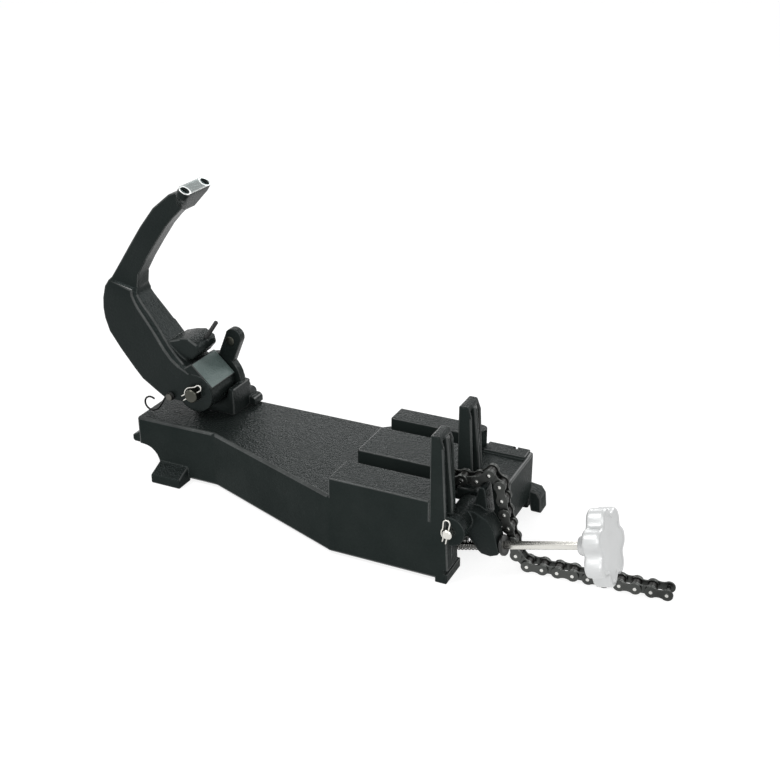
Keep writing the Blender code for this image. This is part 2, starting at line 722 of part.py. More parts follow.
def bracket_screw_spots():
    """Screw positions under the bracket."""
    return [
        (x, y)
        for x in (BRACKET_REAR + BRACKET_SCREW_INSET, BRACKET_FRONT - BRACKET_SCREW_INSET)
        for y in (BRACKET_NEAR + BRACKET_SCREW_ROWS[0], BRACKET_FAR - BRACKET_SCREW_ROWS[1])
    ]


def bracket_screws():
    """Hexagon-headed screws that come up through the base into the bracket."""
    under = BASE_TOP - TOP_THICKNESS - GAP
    top = BASE_TOP + BRACKET_SCREW_REACH
    for index, spot in enumerate(bracket_screw_spots()):
        hexagon = circle(spot, BRACKET_SCREW_HEAD, 6)
        head = prism(hexagon, "Z", under - BRACKET_SCREW_HEAD_HEIGHT, under)
        shank = drum(spot, BRACKET_SCREW_RADIUS, "Z", under - 1.0, top, HOLE_SIDES)
        node(f"bracket_screw_{index + 1}", fuse(head, shank), STEEL, CREASE)


def pivot_pin():
    """The plain pin the arm turns on, headed behind the ear and cross-drilled at its near end."""
    head_start = HUB_FAR + 3.0 * GAP + EAR_THICKNESS
    start = Vector((PIVOT_X, head_start + PIN_HEAD_THICKNESS, PIVOT_Z))
    length = start.y - PIN_NEAR_END
    profile = [
        (0.0, PIN_HEAD_RADIUS),
        (PIN_HEAD_THICKNESS, PIN_HEAD_RADIUS),
        (PIN_HEAD_THICKNESS, PIVOT_PIN_RADIUS),
        (length - PIN_CHAMFER, PIVOT_PIN_RADIUS),
        (length, PIVOT_PIN_RADIUS - PIN_CHAMFER),
    ]
    pin = turned(profile, start, Vector((0.0, -1.0, 0.0)), BORE_SIDES)
    spot = Vector((PIVOT_X, PIN_NEAR_END + HAIRPIN_INSET, PIVOT_Z))
    drill_pin(pin, spot, PIVOT_HAIRPIN_LEAN, PIVOT_PIN_RADIUS)
    return node("pivot_pin", pin, STEEL, CREASE)


def drill_pin(pin, centre, lean, radius):
    """Drill the cross hole that a hairpin goes through."""
    along = Vector((math.cos(lean), 0.0, math.sin(lean)))
    reach = radius + CUT_PAST
    profile = [(0.0, HAIRPIN_WIRE + RUNNING), (2.0 * reach, HAIRPIN_WIRE + RUNNING)]
    cut(pin, turned(profile, centre - along * reach, along, SMALL_SIDES))


def hairpin(name, centre, lean, radius):
    """A bent wire clip: one straight leg through the pin, one leg sprung around its outside."""
    along = Vector((math.cos(lean), 0.0, math.sin(lean)))
    side = Vector((-math.sin(lean), 0.0, math.cos(lean)))
    rise = radius + 2.0 * HAIRPIN_WIRE
    loop = HAIRPIN_LOOP
    top = radius + loop + HAIRPIN_NECK
    path = [(-radius - HAIRPIN_LEG, 0.0), (0.0, 0.0), (top - loop, 0.0)]
    path += arc((top, loop), loop, -90.0, 90.0, 8)
    path.append((top - loop, 2.0 * loop - HAIRPIN_PINCH))
    path += arc((0.0, 0.0), rise, 60.0, 150.0, 6)
    path.append((-radius - HAIRPIN_SPRUNG_LEG, rise * HAIRPIN_FLARE))
    spots = [centre + along * a + side * b for a, b in path]
    return node(name, wire(spots, HAIRPIN_WIRE), BRIGHT, WIRE_CREASE)


def saw_arm():
    """The curved casting that carries the saw, from its hub up to the machined pad."""
    rings = []
    for outer_x, outer_z, inner_x, inner_z, near, far, lift in ARM_STATIONS:
        outer = Vector((outer_x, 0.0, outer_z))
        inner = Vector((inner_x, 0.0, inner_z))
        plate = Vector((0.0, near - lift, 0.0))
        rings.append([
            outer + plate,
            outer.lerp(inner, ARM_LIP) + plate,
            outer.lerp(inner, ARM_LIP_FOOT) + Vector((0.0, near, 0.0)),
            inner + Vector((0.0, near, 0.0)),
            inner + Vector((0.0, far, 0.0)),
            outer + Vector((0.0, far, 0.0)),
        ])
    arm = loft(rings)
    pivot = (PIVOT_X, PIVOT_Z)
    fuse(arm, soften(drum(pivot, HUB_RADIUS, "Y", HUB_NEAR, HUB_FAR, 40), SMALL_EDGE, EDGE_STEPS))
    flat = [HUB_FLAT_REAR, pivot, HUB_FLAT[1], HUB_FLAT[0]]
    fuse(arm, soften(prism(flat, "Y", HUB_NEAR + HUB_FLAT_GAP, HUB_FAR - GAP), HUB_FLAT_EDGE))

    # The cross bar above the hub that carries the stop stud.
    bar = prism(CROSS_BAR, "Y", CROSS_BAR_NEAR, HUB_FAR - CROSS_BAR_SETBACK)
    fuse(arm, soften(bar, CROSS_BAR_EDGE, EDGE_STEPS))

    # The machined head with its two slots.
    slope = Vector((PAD_TO[0] - PAD_FROM[0], 0.0, PAD_TO[1] - PAD_FROM[1])).normalized()
    normal = Vector((-slope.z, 0.0, slope.x))
    middle = Vector(((PAD_FROM[0] + PAD_TO[0]) / 2.0, ARM_MIDDLE, (PAD_FROM[1] + PAD_TO[1]) / 2.0))
    half = (Vector((PAD_TO[0], 0.0, PAD_TO[1])) - Vector((PAD_FROM[0], 0.0, PAD_FROM[1]))).length / 2.0
    outline = arc((0.0, PAD_WIDTH / 2.0 - half), half, 0.0, 180.0, 8)
    outline += arc((0.0, half - PAD_WIDTH / 2.0), half, 180.0, 360.0, 8)
    rings = []
    for depth in (0.0, -PAD_THICKNESS):
        rings.append([middle + slope * a + Vector((0.0, b, 0.0)) + normal * depth for a, b in outline])
    along, across, down = HEAD_NECK
    neck = [middle + slope * a * along + Vector((0.0, b * across, 0.0)) - normal * down for a, b in outline]
    fuse(arm, loft(rings + [neck]))
    for side in (-1.0, 1.0):
        ends = arc((SLOT_LENGTH / 2.0 - SLOT_HALF, 0.0), SLOT_HALF, -90.0, 90.0, 6)
        ends += arc((SLOT_HALF - SLOT_LENGTH / 2.0, 0.0), SLOT_HALF, 90.0, 270.0, 6)
        spot = middle + Vector((0.0, side * SLOT_SPACING / 2.0, 0.0))
        rings = []
        for depth in (CUT_PAST, -SLOT_DEPTH):
            rings.append([spot + slope * a + Vector((0.0, b, 0.0)) + normal * depth for a, b in ends])
        cut(arm, loft(rings))

    # Holes for the pivot pin, the stop stud and the hook screw.
    bore = PIVOT_PIN_RADIUS + RUNNING
    cut(arm, drum(pivot, bore, "Y", HUB_NEAR - CUT_PAST, HUB_FAR + CUT_PAST, 32))
    heading = stud_heading()
    root = Vector(STUD_ROOT) - heading * (STUD_DEPTH + GAP)
    profile = [(0.0, STUD_RADIUS + RUNNING), (STUD_DEPTH * 2.0, STUD_RADIUS + RUNNING)]
    cut(arm, turned(profile, root, heading, HOLE_SIDES))
    bore = HOOK_SCREW_RADIUS + RUNNING
    cut(arm, drum(HOOK_PIVOT, bore, "Y", HUB_NEAR - CUT_PAST, HOOK_SCREW_END + GAP, SMALL_SIDES))
    return node("saw_arm", arm, PAINT, CREASE)


def stud_heading():
    """The way the stop stud points."""
    lean = math.radians(STUD_LEAN)
    return Vector((math.cos(lean), 0.0, math.sin(lean)))


def stop_stud():
    """The threaded stop stud in the arm's cross bar."""
    heading = stud_heading()
    start = Vector(STUD_ROOT) - heading * STUD_DEPTH
    length = STUD_DEPTH + STUD_HEIGHT
    profile = [
        (0.0, STUD_RADIUS),
        (length - STUD_CHAMFER, STUD_RADIUS),
        (length, STUD_RADIUS - STUD_CHAMFER),
    ]
    return node("stop_stud", turned(profile, start, heading, HOLE_SIDES), STEEL, CREASE)


def hook_screw():
    """The shoulder screw that the holding hook hangs on."""
    start = Vector((HOOK_PIVOT[0], HOOK_NEAR - HOOK_SCREW_STAND, HOOK_PIVOT[1]))
    crown, brim, height = HOOK_SCREW_HEAD
    profile = [
        (0.0, crown),
        (height, brim),
        (height, HOOK_SCREW_RADIUS),
        (HOOK_SCREW_END - start.y, HOOK_SCREW_RADIUS),
    ]
    screw = turned(profile, start, Vector((0.0, 1.0, 0.0)), HOLE_SIDES)
    return node("hook_screw", screw, BRIGHT, CREASE)


def wire_hook():
    """A wire hook with an eye round its screw and an open loop behind the arm."""
    eye = HOOK_SCREW_RADIUS + HOOK_WIRE + RUNNING
    path = arc(HOOK_PIVOT, eye, -150.0, 150.0, 14)
    path.append((HOOK_PIVOT[0] - eye - 2.0, HOOK_PIVOT[1] - 0.5))
    path.append((HOOK_FOOT[0] + 6.0, HOOK_FOOT[1] + 3.0))
    loop = (HOOK_FOOT[0] - 4.0, HOOK_FOOT[1] + HOOK_LOOP)
    path += arc(loop, HOOK_LOOP, -70.0, -310.0, 14)
    drift = HOOK_SPREAD / len(path)
    spots = [(x, HOOK_NEAR + drift * index, z) for index, (x, z) in enumerate(path)]
    return node("wire_hook", wire(spots, HOOK_WIRE), STEEL, WIRE_CREASE)


def screw_line():
    """The swivel nut's centre, the collar seat's centre and the screw's direction."""
    centre = Vector((NUT_X, SCREW_Y, NUT_Z))
    seat = Vector((COLLAR_X, SCREW_Y, COLLAR_Z))
    return centre, seat, (seat - centre).normalized()


def vise_pin():
    """The cross pin of the vise, headed at the far ear and cross-drilled at its near end."""
    head = VISE_EAR_FAR[1] + GAP
    start = Vector((VISE_PIN_X, head + PIN_HEAD_THICKNESS, VISE_PIN_Z))
    length = start.y - VISE_PIN_NEAR_END
    profile = [
        (0.0, VISE_PIN_HEAD),
        (PIN_HEAD_THICKNESS, VISE_PIN_HEAD),
        (PIN_HEAD_THICKNESS, VISE_PIN_RADIUS),
        (length - PIN_CHAMFER, VISE_PIN_RADIUS),
        (length, VISE_PIN_RADIUS - PIN_CHAMFER),
    ]
    pin = turned(profile, start, Vector((0.0, -1.0, 0.0)), BORE_SIDES)
    spot = Vector((VISE_PIN_X, VISE_PIN_NEAR_END + HAIRPIN_INSET, VISE_PIN_Z))
    drill_pin(pin, spot, VISE_HAIRPIN_LEAN, VISE_PIN_RADIUS)
    return node("vise_pin", pin, BRIGHT, CREASE)


def vise_yoke():
    """The lever that the screw pulls, with the horn that the chain lies on."""
    centre = (VISE_PIN_X, VISE_PIN_Z)
    nut, seat, along = screw_line()
    hub_near = VISE_EAR_NEAR[1] + 2.0 * GAP
    hub_far = VISE_EAR_FAR[0] - 2.0 * GAP
    yoke = drum(centre, YOKE_HUB_RADIUS, "Y", hub_near, hub_far, 32)
    fuse(yoke, soften(prism(YOKE_SIDE, "Y", *YOKE_CHEEKS), SOFT_EDGE, EDGE_STEPS))
    horn = [(x, VISE_PIN_Z) for x in HORN_ROOT]
    horn += arc(HORN_TIP, HORN_TIP_RADIUS, 8.0, 165.0, 8)
    fuse(yoke, prism(horn, "Y", *YOKE_HORN))
    bore = VISE_PIN_RADIUS + RUNNING
    cut(yoke, drum(centre, bore, "Y", hub_near - CUT_PAST, hub_far + CUT_PAST, BORE_SIDES))
    length = (seat - nut).length
    profile = [(0.0, YOKE_BORE_RADIUS), (length + CUT_PAST, YOKE_BORE_RADIUS)]
    cut(yoke, turned(profile, nut, along, BORE_SIDES))
    room = SPRING_RADIUS + SPRING_WIRE + SPRING_ROOM
    cut(yoke, turned([(0.0, room), (SPRING_END + GAP, room)], nut, along, BORE_SIDES))
    front = [(length - COLLAR_GAP, YOKE_FRONT_RADIUS), (length + YOKE_FRONT_RADIUS, YOKE_FRONT_RADIUS)]
    cut(yoke, turned(front, nut, along, BORE_SIDES))
    return node("vise_yoke", yoke, PAINT, CREASE)


def swivel_nut():
    """The cross nut inside the base that the screw runs in."""
    nut, _, along = screw_line()
    low = VISE_OPENING_NEAR - NUT_SEAT
    barrel = drum((NUT_X, NUT_Z), NUT_RADIUS, "Y", low, VISE_EAR_FAR[0] + NUT_SEAT, BORE_SIDES)
    reach = NUT_RADIUS + CUT_PAST
    profile = [(-reach, SCREW_RADIUS + RUNNING), (reach, SCREW_RADIUS + RUNNING)]
    cut(barrel, turned(profile, nut, along, HOLE_SIDES))
    return node("swivel_nut", barrel, STEEL, CREASE)


def screw_spring():
    """The compression spring that pushes the yoke away from the swivel nut."""
    nut, _, along = screw_line()
    across = Vector((0.0, 1.0, 0.0))
    other = along.cross(across)
    start = NUT_RADIUS + GAP + SPRING_WIRE
    rise = SPRING_END - SPRING_WIRE - start
    steps = SPRING_COILS * SPRING_POINTS
    path = []
    for index in range(steps + 1):
        share = index / steps
        angle = 2.0 * math.pi * SPRING_COILS * share
        spoke = math.cos(angle) * across + math.sin(angle) * other
        path.append(nut + along * (start + rise * share) + spoke * SPRING_RADIUS)
    least = min(
        (path[index + SPRING_POINTS] - path[index]).length - 2.0 * SPRING_WIRE
        for index in range(steps + 1 - SPRING_POINTS)
    )
    print("least gap between the spring's curls, mm:", round(least, 3))
    return node("screw_spring", wire(path, SPRING_WIRE), BRIGHT, WIRE_CREASE)


def thrust_collar():
    """The collar that presses on the yoke."""
    _, seat, along = screw_line()
    profile = [
        (0.0, COLLAR_RADIUS - COLLAR_CHAMFER),
        (COLLAR_CHAMFER, COLLAR_RADIUS),
        (COLLAR_THICKNESS - COLLAR_CHAMFER, COLLAR_RADIUS),
        (COLLAR_THICKNESS, COLLAR_RADIUS - COLLAR_CHAMFER),
    ]
    collar = turned(profile, seat, along, 28)
    bore = SCREW_RADIUS + RUNNING
    hole = [(-CUT_PAST, bore), (COLLAR_THICKNESS + CUT_PAST, bore)]
    cut(collar, turned(hole, seat, along, HOLE_SIDES))
    return node("thrust_collar", collar, DARK_STEEL, CREASE)


def vise_screw():
    """The rod: a threaded end in the swivel nut and a plain shank up to the knob."""
    nut, seat, along = screw_line()
    shoulder = (seat - nut).length + COLLAR_THICKNESS + GAP
    end = (seat - nut).length + KNOB_DISTANCE + ROD_IN_KNOB
    profile = [
        (-SCREW_TAIL, SCREW_RADIUS - PIN_CHAMFER),
        (PIN_CHAMFER - SCREW_TAIL, SCREW_RADIUS),
        (shoulder, SCREW_RADIUS),
        (shoulder, ROD_RADIUS),
        (end, ROD_RADIUS),
    ]
    return node("vise_screw", turned(profile, nut, along, BORE_SIDES), BRIGHT, CREASE)


def lobed(scale, phase):
    """The knob's outline as (radius, angle) pairs."""
    points = []
    count = KNOB_LOBES * KNOB_LOBE_POINTS
    for index in range(count):
        angle = 2.0 * math.pi * index / count
        wave = (1.0 - math.cos(KNOB_LOBES * (angle - phase))) / 2.0
        points.append(((KNOB_RADIUS - KNOB_LOBE_DEPTH * wave ** KNOB_LOBE_POWER) * scale, angle))
    return points


def star_knob():
    """The cast hand knob with round lobes and a coned boss at the back."""
    _, seat, along = screw_line()
    centre = seat + along * KNOB_DISTANCE
    side = Vector((0.0, -1.0, 0.0))
    up = side.cross(along) * -1.0
    phase = math.radians(KNOB_PHASE)
    half = KNOB_THICKNESS / 2.0
    count = KNOB_LOBES * KNOB_LOBE_POINTS
    sections = []
    for radius, behind in KNOB_BOSS:
        outline = [(radius, 2.0 * math.pi * index / count) for index in range(count)]
        sections.append((-half - behind, outline))
    shell = (
        (KNOB_BACK_SHARE, -half - KNOB_DISH),
        (KNOB_RIM_SHARE, -half),
        (1.0, KNOB_EDGE - half),
        (1.0, half - KNOB_EDGE),
        (KNOB_RIM_SHARE, half),
        (KNOB_FACE_SHARE, half - KNOB_DISH),
    )
    for scale, depth in shell:
        sections.append((depth, lobed(scale, phase)))
    rings = []
    for depth, outline in sections:
        ring = []
        for radius, angle in outline:
            spoke = side * math.cos(angle) + up * math.sin(angle)
            ring.append(centre + along * depth + spoke * radius)
        rings.append(ring)
    knob = loft(rings)
    bore = ROD_RADIUS + GAP
    hole = [(-half - KNOB_BOSS[0][1] - CUT_PAST, bore), (ROD_IN_KNOB + GAP, bore)]
    cut(knob, turned(hole, centre, along, BORE_SIDES))
    return node("star_knob", knob, ALUMINIUM, CREASE)


def plate_outline():
    """A waisted link plate between two pins."""
    outline = arc((0.0, 0.0), PLATE_HEAD, 52.0, 308.0, 8)
    outline.append((CHAIN_PITCH / 2.0, -PLATE_WAIST))
    outline += arc((CHAIN_PITCH, 0.0), PLATE_HEAD, -128.0, 128.0, 8)
    outline.append((CHAIN_PITCH / 2.0, PLATE_WAIST))
    return outline


def inner_link():
    """Two plates held by two rollers, bored for the pins."""
    half = INNER_WIDTH / 2.0
    link = prism(plate_outline(), "Y", half, half + PLATE)
    fuse(link, prism(plate_outline(), "Y", -half - PLATE, -half))
    for x in (0.0, CHAIN_PITCH):
        fuse(link, drum((x, 0.0), ROLLER_RADIUS, "Y", -half - PLATE / 2.0, half + PLATE / 2.0, HOLE_SIDES))
        reach = half + PLATE + CUT_PAST
        bore = CHAIN_PIN_RADIUS + RUNNING
        cut(link, drum((x, 0.0), bore, "Y", -reach, reach, SMALL_SIDES))
    return link


def outer_link():
    """Two plates riveted on two pins."""
    half = INNER_WIDTH / 2.0 + PLATE + PLATE_GAP
    link = prism(plate_outline(), "Y", half, half + PLATE)
    fuse(link, prism(plate_outline(), "Y", -half - PLATE, -half))
    for x in (0.0, CHAIN_PITCH):
        reach = half + PLATE + RIVET
        fuse(link, drum((x, 0.0), CHAIN_PIN_RADIUS, "Y", -reach, reach, SMALL_SIDES))
    return link


def chain_point(run, height):
    """A place on the chain's upright plane, measured from its anchor."""
    start = CHAIN_Y_AT[1] + CHAIN_YAW * (CHAIN_ANCHOR[0] - CHAIN_Y_AT[0])
    x = CHAIN_ANCHOR[0] + run * math.cos(CHAIN_YAW)
    return Vector((x, start + run * math.sin(CHAIN_YAW), height))


def chain_pins():
    """Pin places along the chain, with the link headings, from the anchor to the free end."""
    run, height = 0.0, CHAIN_ANCHOR[1]
    pins = [chain_point(run, height)]
    headings = []
    for heading in HANGING_HEADINGS:
        angle = math.radians(heading)
        run += CHAIN_PITCH * math.cos(angle)
        height += CHAIN_PITCH * math.sin(angle)
        pins.append(chain_point(run, height))
        headings.append(angle)
    landing = math.asin((CHAIN_FLOOR_PIN - height) / CHAIN_PITCH)
    for angle in [landing] + [0.0] * FLOOR_LINKS:
        run += CHAIN_PITCH * math.cos(angle)
        height += CHAIN_PITCH * math.sin(angle)
        pins.append(chain_point(run, height))
        headings.append(angle)
    return pins, headings


def roller_chain():
    """Every link as its own piece, inner and outer in turn."""
    pins, headings = chain_pins()
    patterns = (inner_link(), outer_link())
    links = []
    for index, angle in enumerate(headings):
        pattern = patterns[index % 2]
        mesh = pattern.data.copy()
        turn = Matrix.Rotation(CHAIN_YAW, 4, "Z") @ Matrix.Rotation(-angle, 4, "Y")
        mesh.transform(Matrix.Translation(pins[index] * MM) @ turn)
        made = bpy.data.objects.new("piece", mesh)
        bpy.context.scene.collection.objects.link(made)
        kind = ("inner", "outer")[index % 2]
        links.append(node(f"chain_link_{index + 1:02d}_{kind}", made, CHAIN_STEEL, CREASE))
    for pattern in patterns:
        shape = pattern.data
        bpy.data.objects.remove(pattern)
        bpy.data.meshes.remove(shape)
    return links


def chain_anchor_pin():
    """The pin across the near groove that holds the first link."""
    x, z = CHAIN_ANCHOR
    low = GROOVE_NEAR[0] - ANCHOR_SEAT
    pin = drum((x, z), ANCHOR_PIN_RADIUS, "Y", low, GROOVE_NEAR[1] + ANCHOR_SEAT, HOLE_SIDES)
    return node("chain_anchor_pin", pin, STEEL, CREASE)


def set_origin(target, point):
    """Move a piece's origin to a point without moving the piece."""
    spot = point * MM
    target.data.transform(Matrix.Translation(-spot))
    target.location = spot


for old in list(bpy.data.objects):
    bpy.data.objects.remove(old)

PAINT = material("black_paint", (0.018, 0.020, 0.020), 0.0, 0.45)
STEEL = material("plain_steel", (0.30, 0.29, 0.27), 1.0, 0.38)
DARK_STEEL = material("black_oxide_steel", (0.05, 0.05, 0.05), 0.8, 0.45)
BRIGHT = material("bright_plated_steel", (0.66, 0.66, 0.64), 1.0, 0.22)
CHAIN_STEEL = material("oiled_chain_steel", (0.07, 0.065, 0.06), 0.9, 0.40)
ALUMINIUM = material("cast_aluminium", (0.62, 0.63, 0.63), 0.9, 0.42)

base_casting()
pivot_bracket()
bracket_screws()
pivot_pin()
hairpin("pivot_hairpin", Vector((PIVOT_X, PIN_NEAR_END + HAIRPIN_INSET, PIVOT_Z)),
        PIVOT_HAIRPIN_LEAN, PIVOT_PIN_RADIUS)
vise_pin()
hairpin("vise_hairpin", Vector((VISE_PIN_X, VISE_PIN_NEAR_END + HAIRPIN_INSET, VISE_PIN_Z)),
        VISE_HAIRPIN_LEAN, VISE_PIN_RADIUS)
chain_anchor_pin()

NUT, SEAT, ALONG = screw_line()
PIVOT = Vector((PIVOT_X, ARM_MIDDLE, PIVOT_Z))
HOOK = Vector((HOOK_PIVOT[0], HOOK_NEAR, HOOK_PIVOT[1]))
VISE_PIVOT = Vector((VISE_PIN_X, SCREW_Y, VISE_PIN_Z))
for piece in (saw_arm(), stop_stud(), hook_screw()):
    set_origin(piece, PIVOT)
set_origin(wire_hook(), HOOK)
set_origin(vise_yoke(), VISE_PIVOT)
set_origin(swivel_nut(), NUT)
set_origin(screw_spring(), NUT)
set_origin(thrust_collar(), SEAT)
for piece in (vise_screw(), star_knob()):
    set_origin(piece, SEAT)
LINKS = roller_chain()
PINS, HEADINGS = chain_pins()
for link, pin in zip(LINKS[-LOOSE_LINKS:], PINS[-LOOSE_LINKS - 1:]):
    set_origin(link, pin)

# The origin is the middle of the whole part at floor level.
LOWS = [math.inf, math.inf]
HIGHS = [-math.inf, -math.inf]
for piece in NODES:
    for vertex in piece.data.vertices:
        spot = piece.location + vertex.co
        for axis in range(2):
            LOWS[axis] = min(LOWS[axis], spot[axis])
            HIGHS[axis] = max(HIGHS[axis], spot[axis])
SHIFT = Vector((-(LOWS[0] + HIGHS[0]) / 2.0, -(LOWS[1] + HIGHS[1]) / 2.0, 0.0))
for piece in NODES:
    if piece.location.length > 0.0:
        piece.location += SHIFT
    else:
        piece.data.transform(Matrix.Translation(SHIFT))
print("shift in metres:", [round(value, 6) for value in SHIFT])
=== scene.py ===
import json
import math

import bmesh
import bpy
from mathutils import Matrix, Vector
from mathutils.geometry import tessellate_polygon


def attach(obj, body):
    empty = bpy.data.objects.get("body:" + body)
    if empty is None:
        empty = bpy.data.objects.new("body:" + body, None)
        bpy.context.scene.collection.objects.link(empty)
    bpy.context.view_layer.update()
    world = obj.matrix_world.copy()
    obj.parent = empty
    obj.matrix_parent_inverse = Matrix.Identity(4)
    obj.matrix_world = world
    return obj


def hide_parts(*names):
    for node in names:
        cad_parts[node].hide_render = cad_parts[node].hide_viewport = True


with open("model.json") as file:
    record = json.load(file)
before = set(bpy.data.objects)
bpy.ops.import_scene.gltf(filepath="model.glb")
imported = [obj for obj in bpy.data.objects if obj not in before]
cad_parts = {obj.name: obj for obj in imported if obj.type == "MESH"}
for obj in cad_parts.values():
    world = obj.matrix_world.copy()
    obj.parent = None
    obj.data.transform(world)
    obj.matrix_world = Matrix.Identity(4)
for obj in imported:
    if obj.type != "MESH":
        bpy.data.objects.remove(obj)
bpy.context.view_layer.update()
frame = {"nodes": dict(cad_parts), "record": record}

NODES = frame["nodes"]
MM = 0.001
SHIFT = Vector((-0.289204, -0.0255, 0.0))  # the base's rear near corner, in the part's own frame
WELD_GAP = 0.002 * MM
CREASE = 34.0  # degrees: on castings and plain pieces, a sharper edge stays hard
FINE_CREASE = 40.0  # degrees: the same for the knob, the chain and the lug's pin
THREAD_CREASE = 50.0  # degrees: the same for threaded pieces


def spot(x, y, z):
    """A place given in millimetres from the base's rear near corner."""
    return Vector((x, y, z)) * MM + SHIFT


def add_object(name, data):
    """An object that holds some data, linked to the scene."""
    made = bpy.data.objects.new(name, data)
    bpy.context.scene.collection.objects.link(made)
    return made


# Shader tools, and the node groups shared by the finishes.


def new_group(name, inputs, outputs):
    """An empty shader group with named sockets."""
    group = bpy.data.node_groups.new(name, "ShaderNodeTree")
    for label, kind, value in inputs:
        socket = group.interface.new_socket(label, in_out="INPUT", socket_type=kind)
        socket.default_value = value
    for label, kind in outputs:
        group.interface.new_socket(label, in_out="OUTPUT", socket_type=kind)
    start = group.nodes.new("NodeGroupInput")
    end = group.nodes.new("NodeGroupOutput")
    return group, start, end


def add(tree, kind, **values):
    """One shader node, with its settings and its input values."""
    made = tree.nodes.new(kind)
    for key, value in values.items():
        if hasattr(made, key):
            setattr(made, key, value)
        else:
            made.inputs[key.replace("_", " ")].default_value = value
    return made


def ramp(tree, source, low, high):
    """Stretch a value so that low becomes 0 and high becomes 1."""
    made = add(tree, "ShaderNodeMapRange", From_Min=low, From_Max=high)
    tree.links.new(source, made.inputs["Value"])
    return made.outputs["Result"]


def maths(tree, operation, first, second=0.0):
    """A sum of one or two values, given as numbers or sockets."""
    made = add(tree, "ShaderNodeMath", operation=operation)
    for slot, value in zip(made.inputs, (first, second)):
        if isinstance(value, (int, float)):
            slot.default_value = value
        else:
            tree.links.new(value, slot)
    return made.outputs["Value"]


LUMP_SHARE = 0.4
PATCH_SCALE = 14.0
PATCH_SPAN = (0.3, 0.7)
SPECK_SPAN = (0.55, 0.75)
EDGE_SAMPLES = 6
EDGE_SPAN = (0.05, 0.3)


def grain_group():
    """Pebbled surface: small bumps, wide lumps and slow patches, all in the piece's own space."""
    group, start, end = new_group(
        "pebble_grain",
        (("Pebble", "NodeSocketFloat", 900.0), ("Lump", "NodeSocketFloat", 120.0)),
        (("Height", "NodeSocketFloat"), ("Patch", "NodeSocketFloat"), ("Speck", "NodeSocketFloat")),
    )
    place = group.nodes.new("ShaderNodeTexCoord").outputs["Object"]
    fields = {}
    for label, socket, detail in (("small", "Pebble", 2.0), ("wide", "Lump", 3.0)):
        field = add(group, "ShaderNodeTexNoise", Detail=detail, Roughness=0.55)
        group.links.new(place, field.inputs["Vector"])
        group.links.new(start.outputs[socket], field.inputs["Scale"])
        fields[label] = field.outputs["Fac"]
    slow = add(group, "ShaderNodeTexNoise", Scale=PATCH_SCALE, Detail=4.0, Roughness=0.6)
    group.links.new(place, slow.inputs["Vector"])
    height = maths(group, "ADD", fields["small"], maths(group, "MULTIPLY", fields["wide"], LUMP_SHARE))
    group.links.new(height, end.inputs["Height"])
    group.links.new(ramp(group, slow.outputs["Fac"], *PATCH_SPAN), end.inputs["Patch"])
    group.links.new(ramp(group, fields["small"], *SPECK_SPAN), end.inputs["Speck"])
    return group


def edge_group():
    """Where a piece's edges are, and a normal that is rounded over them."""
    group, start, end = new_group(
        "rounded_edge_mask",
        (("Radius", "NodeSocketFloat", 1.0 * MM),),
        (("Edge", "NodeSocketFloat"), ("Normal", "NodeSocketVector")),
    )
    rounded = add(group, "ShaderNodeBevel", samples=EDGE_SAMPLES)
    group.links.new(start.outputs["Radius"], rounded.inputs["Radius"])
    plain = group.nodes.new("ShaderNodeNewGeometry").outputs["Normal"]
    facing = add(group, "ShaderNodeVectorMath", operation="DOT_PRODUCT")
    group.links.new(rounded.outputs["Normal"], facing.inputs[0])
    group.links.new(plain, facing.inputs[1])
    away = maths(group, "SUBTRACT", 1.0, facing.outputs["Value"])
    group.links.new(ramp(group, away, *EDGE_SPAN), end.inputs["Edge"])
    group.links.new(rounded.outputs["Normal"], end.inputs["Normal"])
    return group


GRAIN = grain_group()
EDGES = edge_group()


def place_group(tree, group, **values):
    """Put a shared group in a material with its own values."""
    made = add(tree, "ShaderNodeGroup", node_tree=group)
    for key, value in values.items():
        made.inputs[key].default_value = value
    return made


def blend_colour(tree, mask, first, second):
    """Mix two colours, given as tuples or sockets, by a mask."""
    made = add(tree, "ShaderNodeMix", data_type="RGBA")
    tree.links.new(mask, made.inputs["Factor"])
    for slot, value in ((made.inputs["A"], first), (made.inputs["B"], second)):
        if isinstance(value, tuple):
            slot.default_value = (*value, 1.0)
        else:
            tree.links.new(value, slot)
    return made.outputs["Result"]


def blend_value(tree, mask, first, second):
    """Mix two values, given as numbers or sockets, by a mask."""
    made = tree.nodes.new("ShaderNodeMix")
    tree.links.new(mask, made.inputs["Factor"])
    for slot, value in ((made.inputs["A"], first), (made.inputs["B"], second)):
        if isinstance(value, (int, float)):
            slot.default_value = value
        else:
            tree.links.new(value, slot)
    return made.outputs["Result"]


def finish_tree(name):
    """A new material, its node tree and its Principled shader."""
    made = bpy.data.materials.new(name)
    made.use_nodes = True
    return made, made.node_tree, made.node_tree.nodes["Principled BSDF"]


def bump(tree, height, base, strength, distance):
    """A bump node over a rounded normal."""
    made = add(tree, "ShaderNodeBump", Strength=strength, Distance=distance)
    tree.links.new(height, made.inputs["Height"])
    tree.links.new(base, made.inputs["Normal"])
    return made.outputs["Normal"]


# Black paint. Colours are linear; a pair runs from one kind of patch or speck to the other.

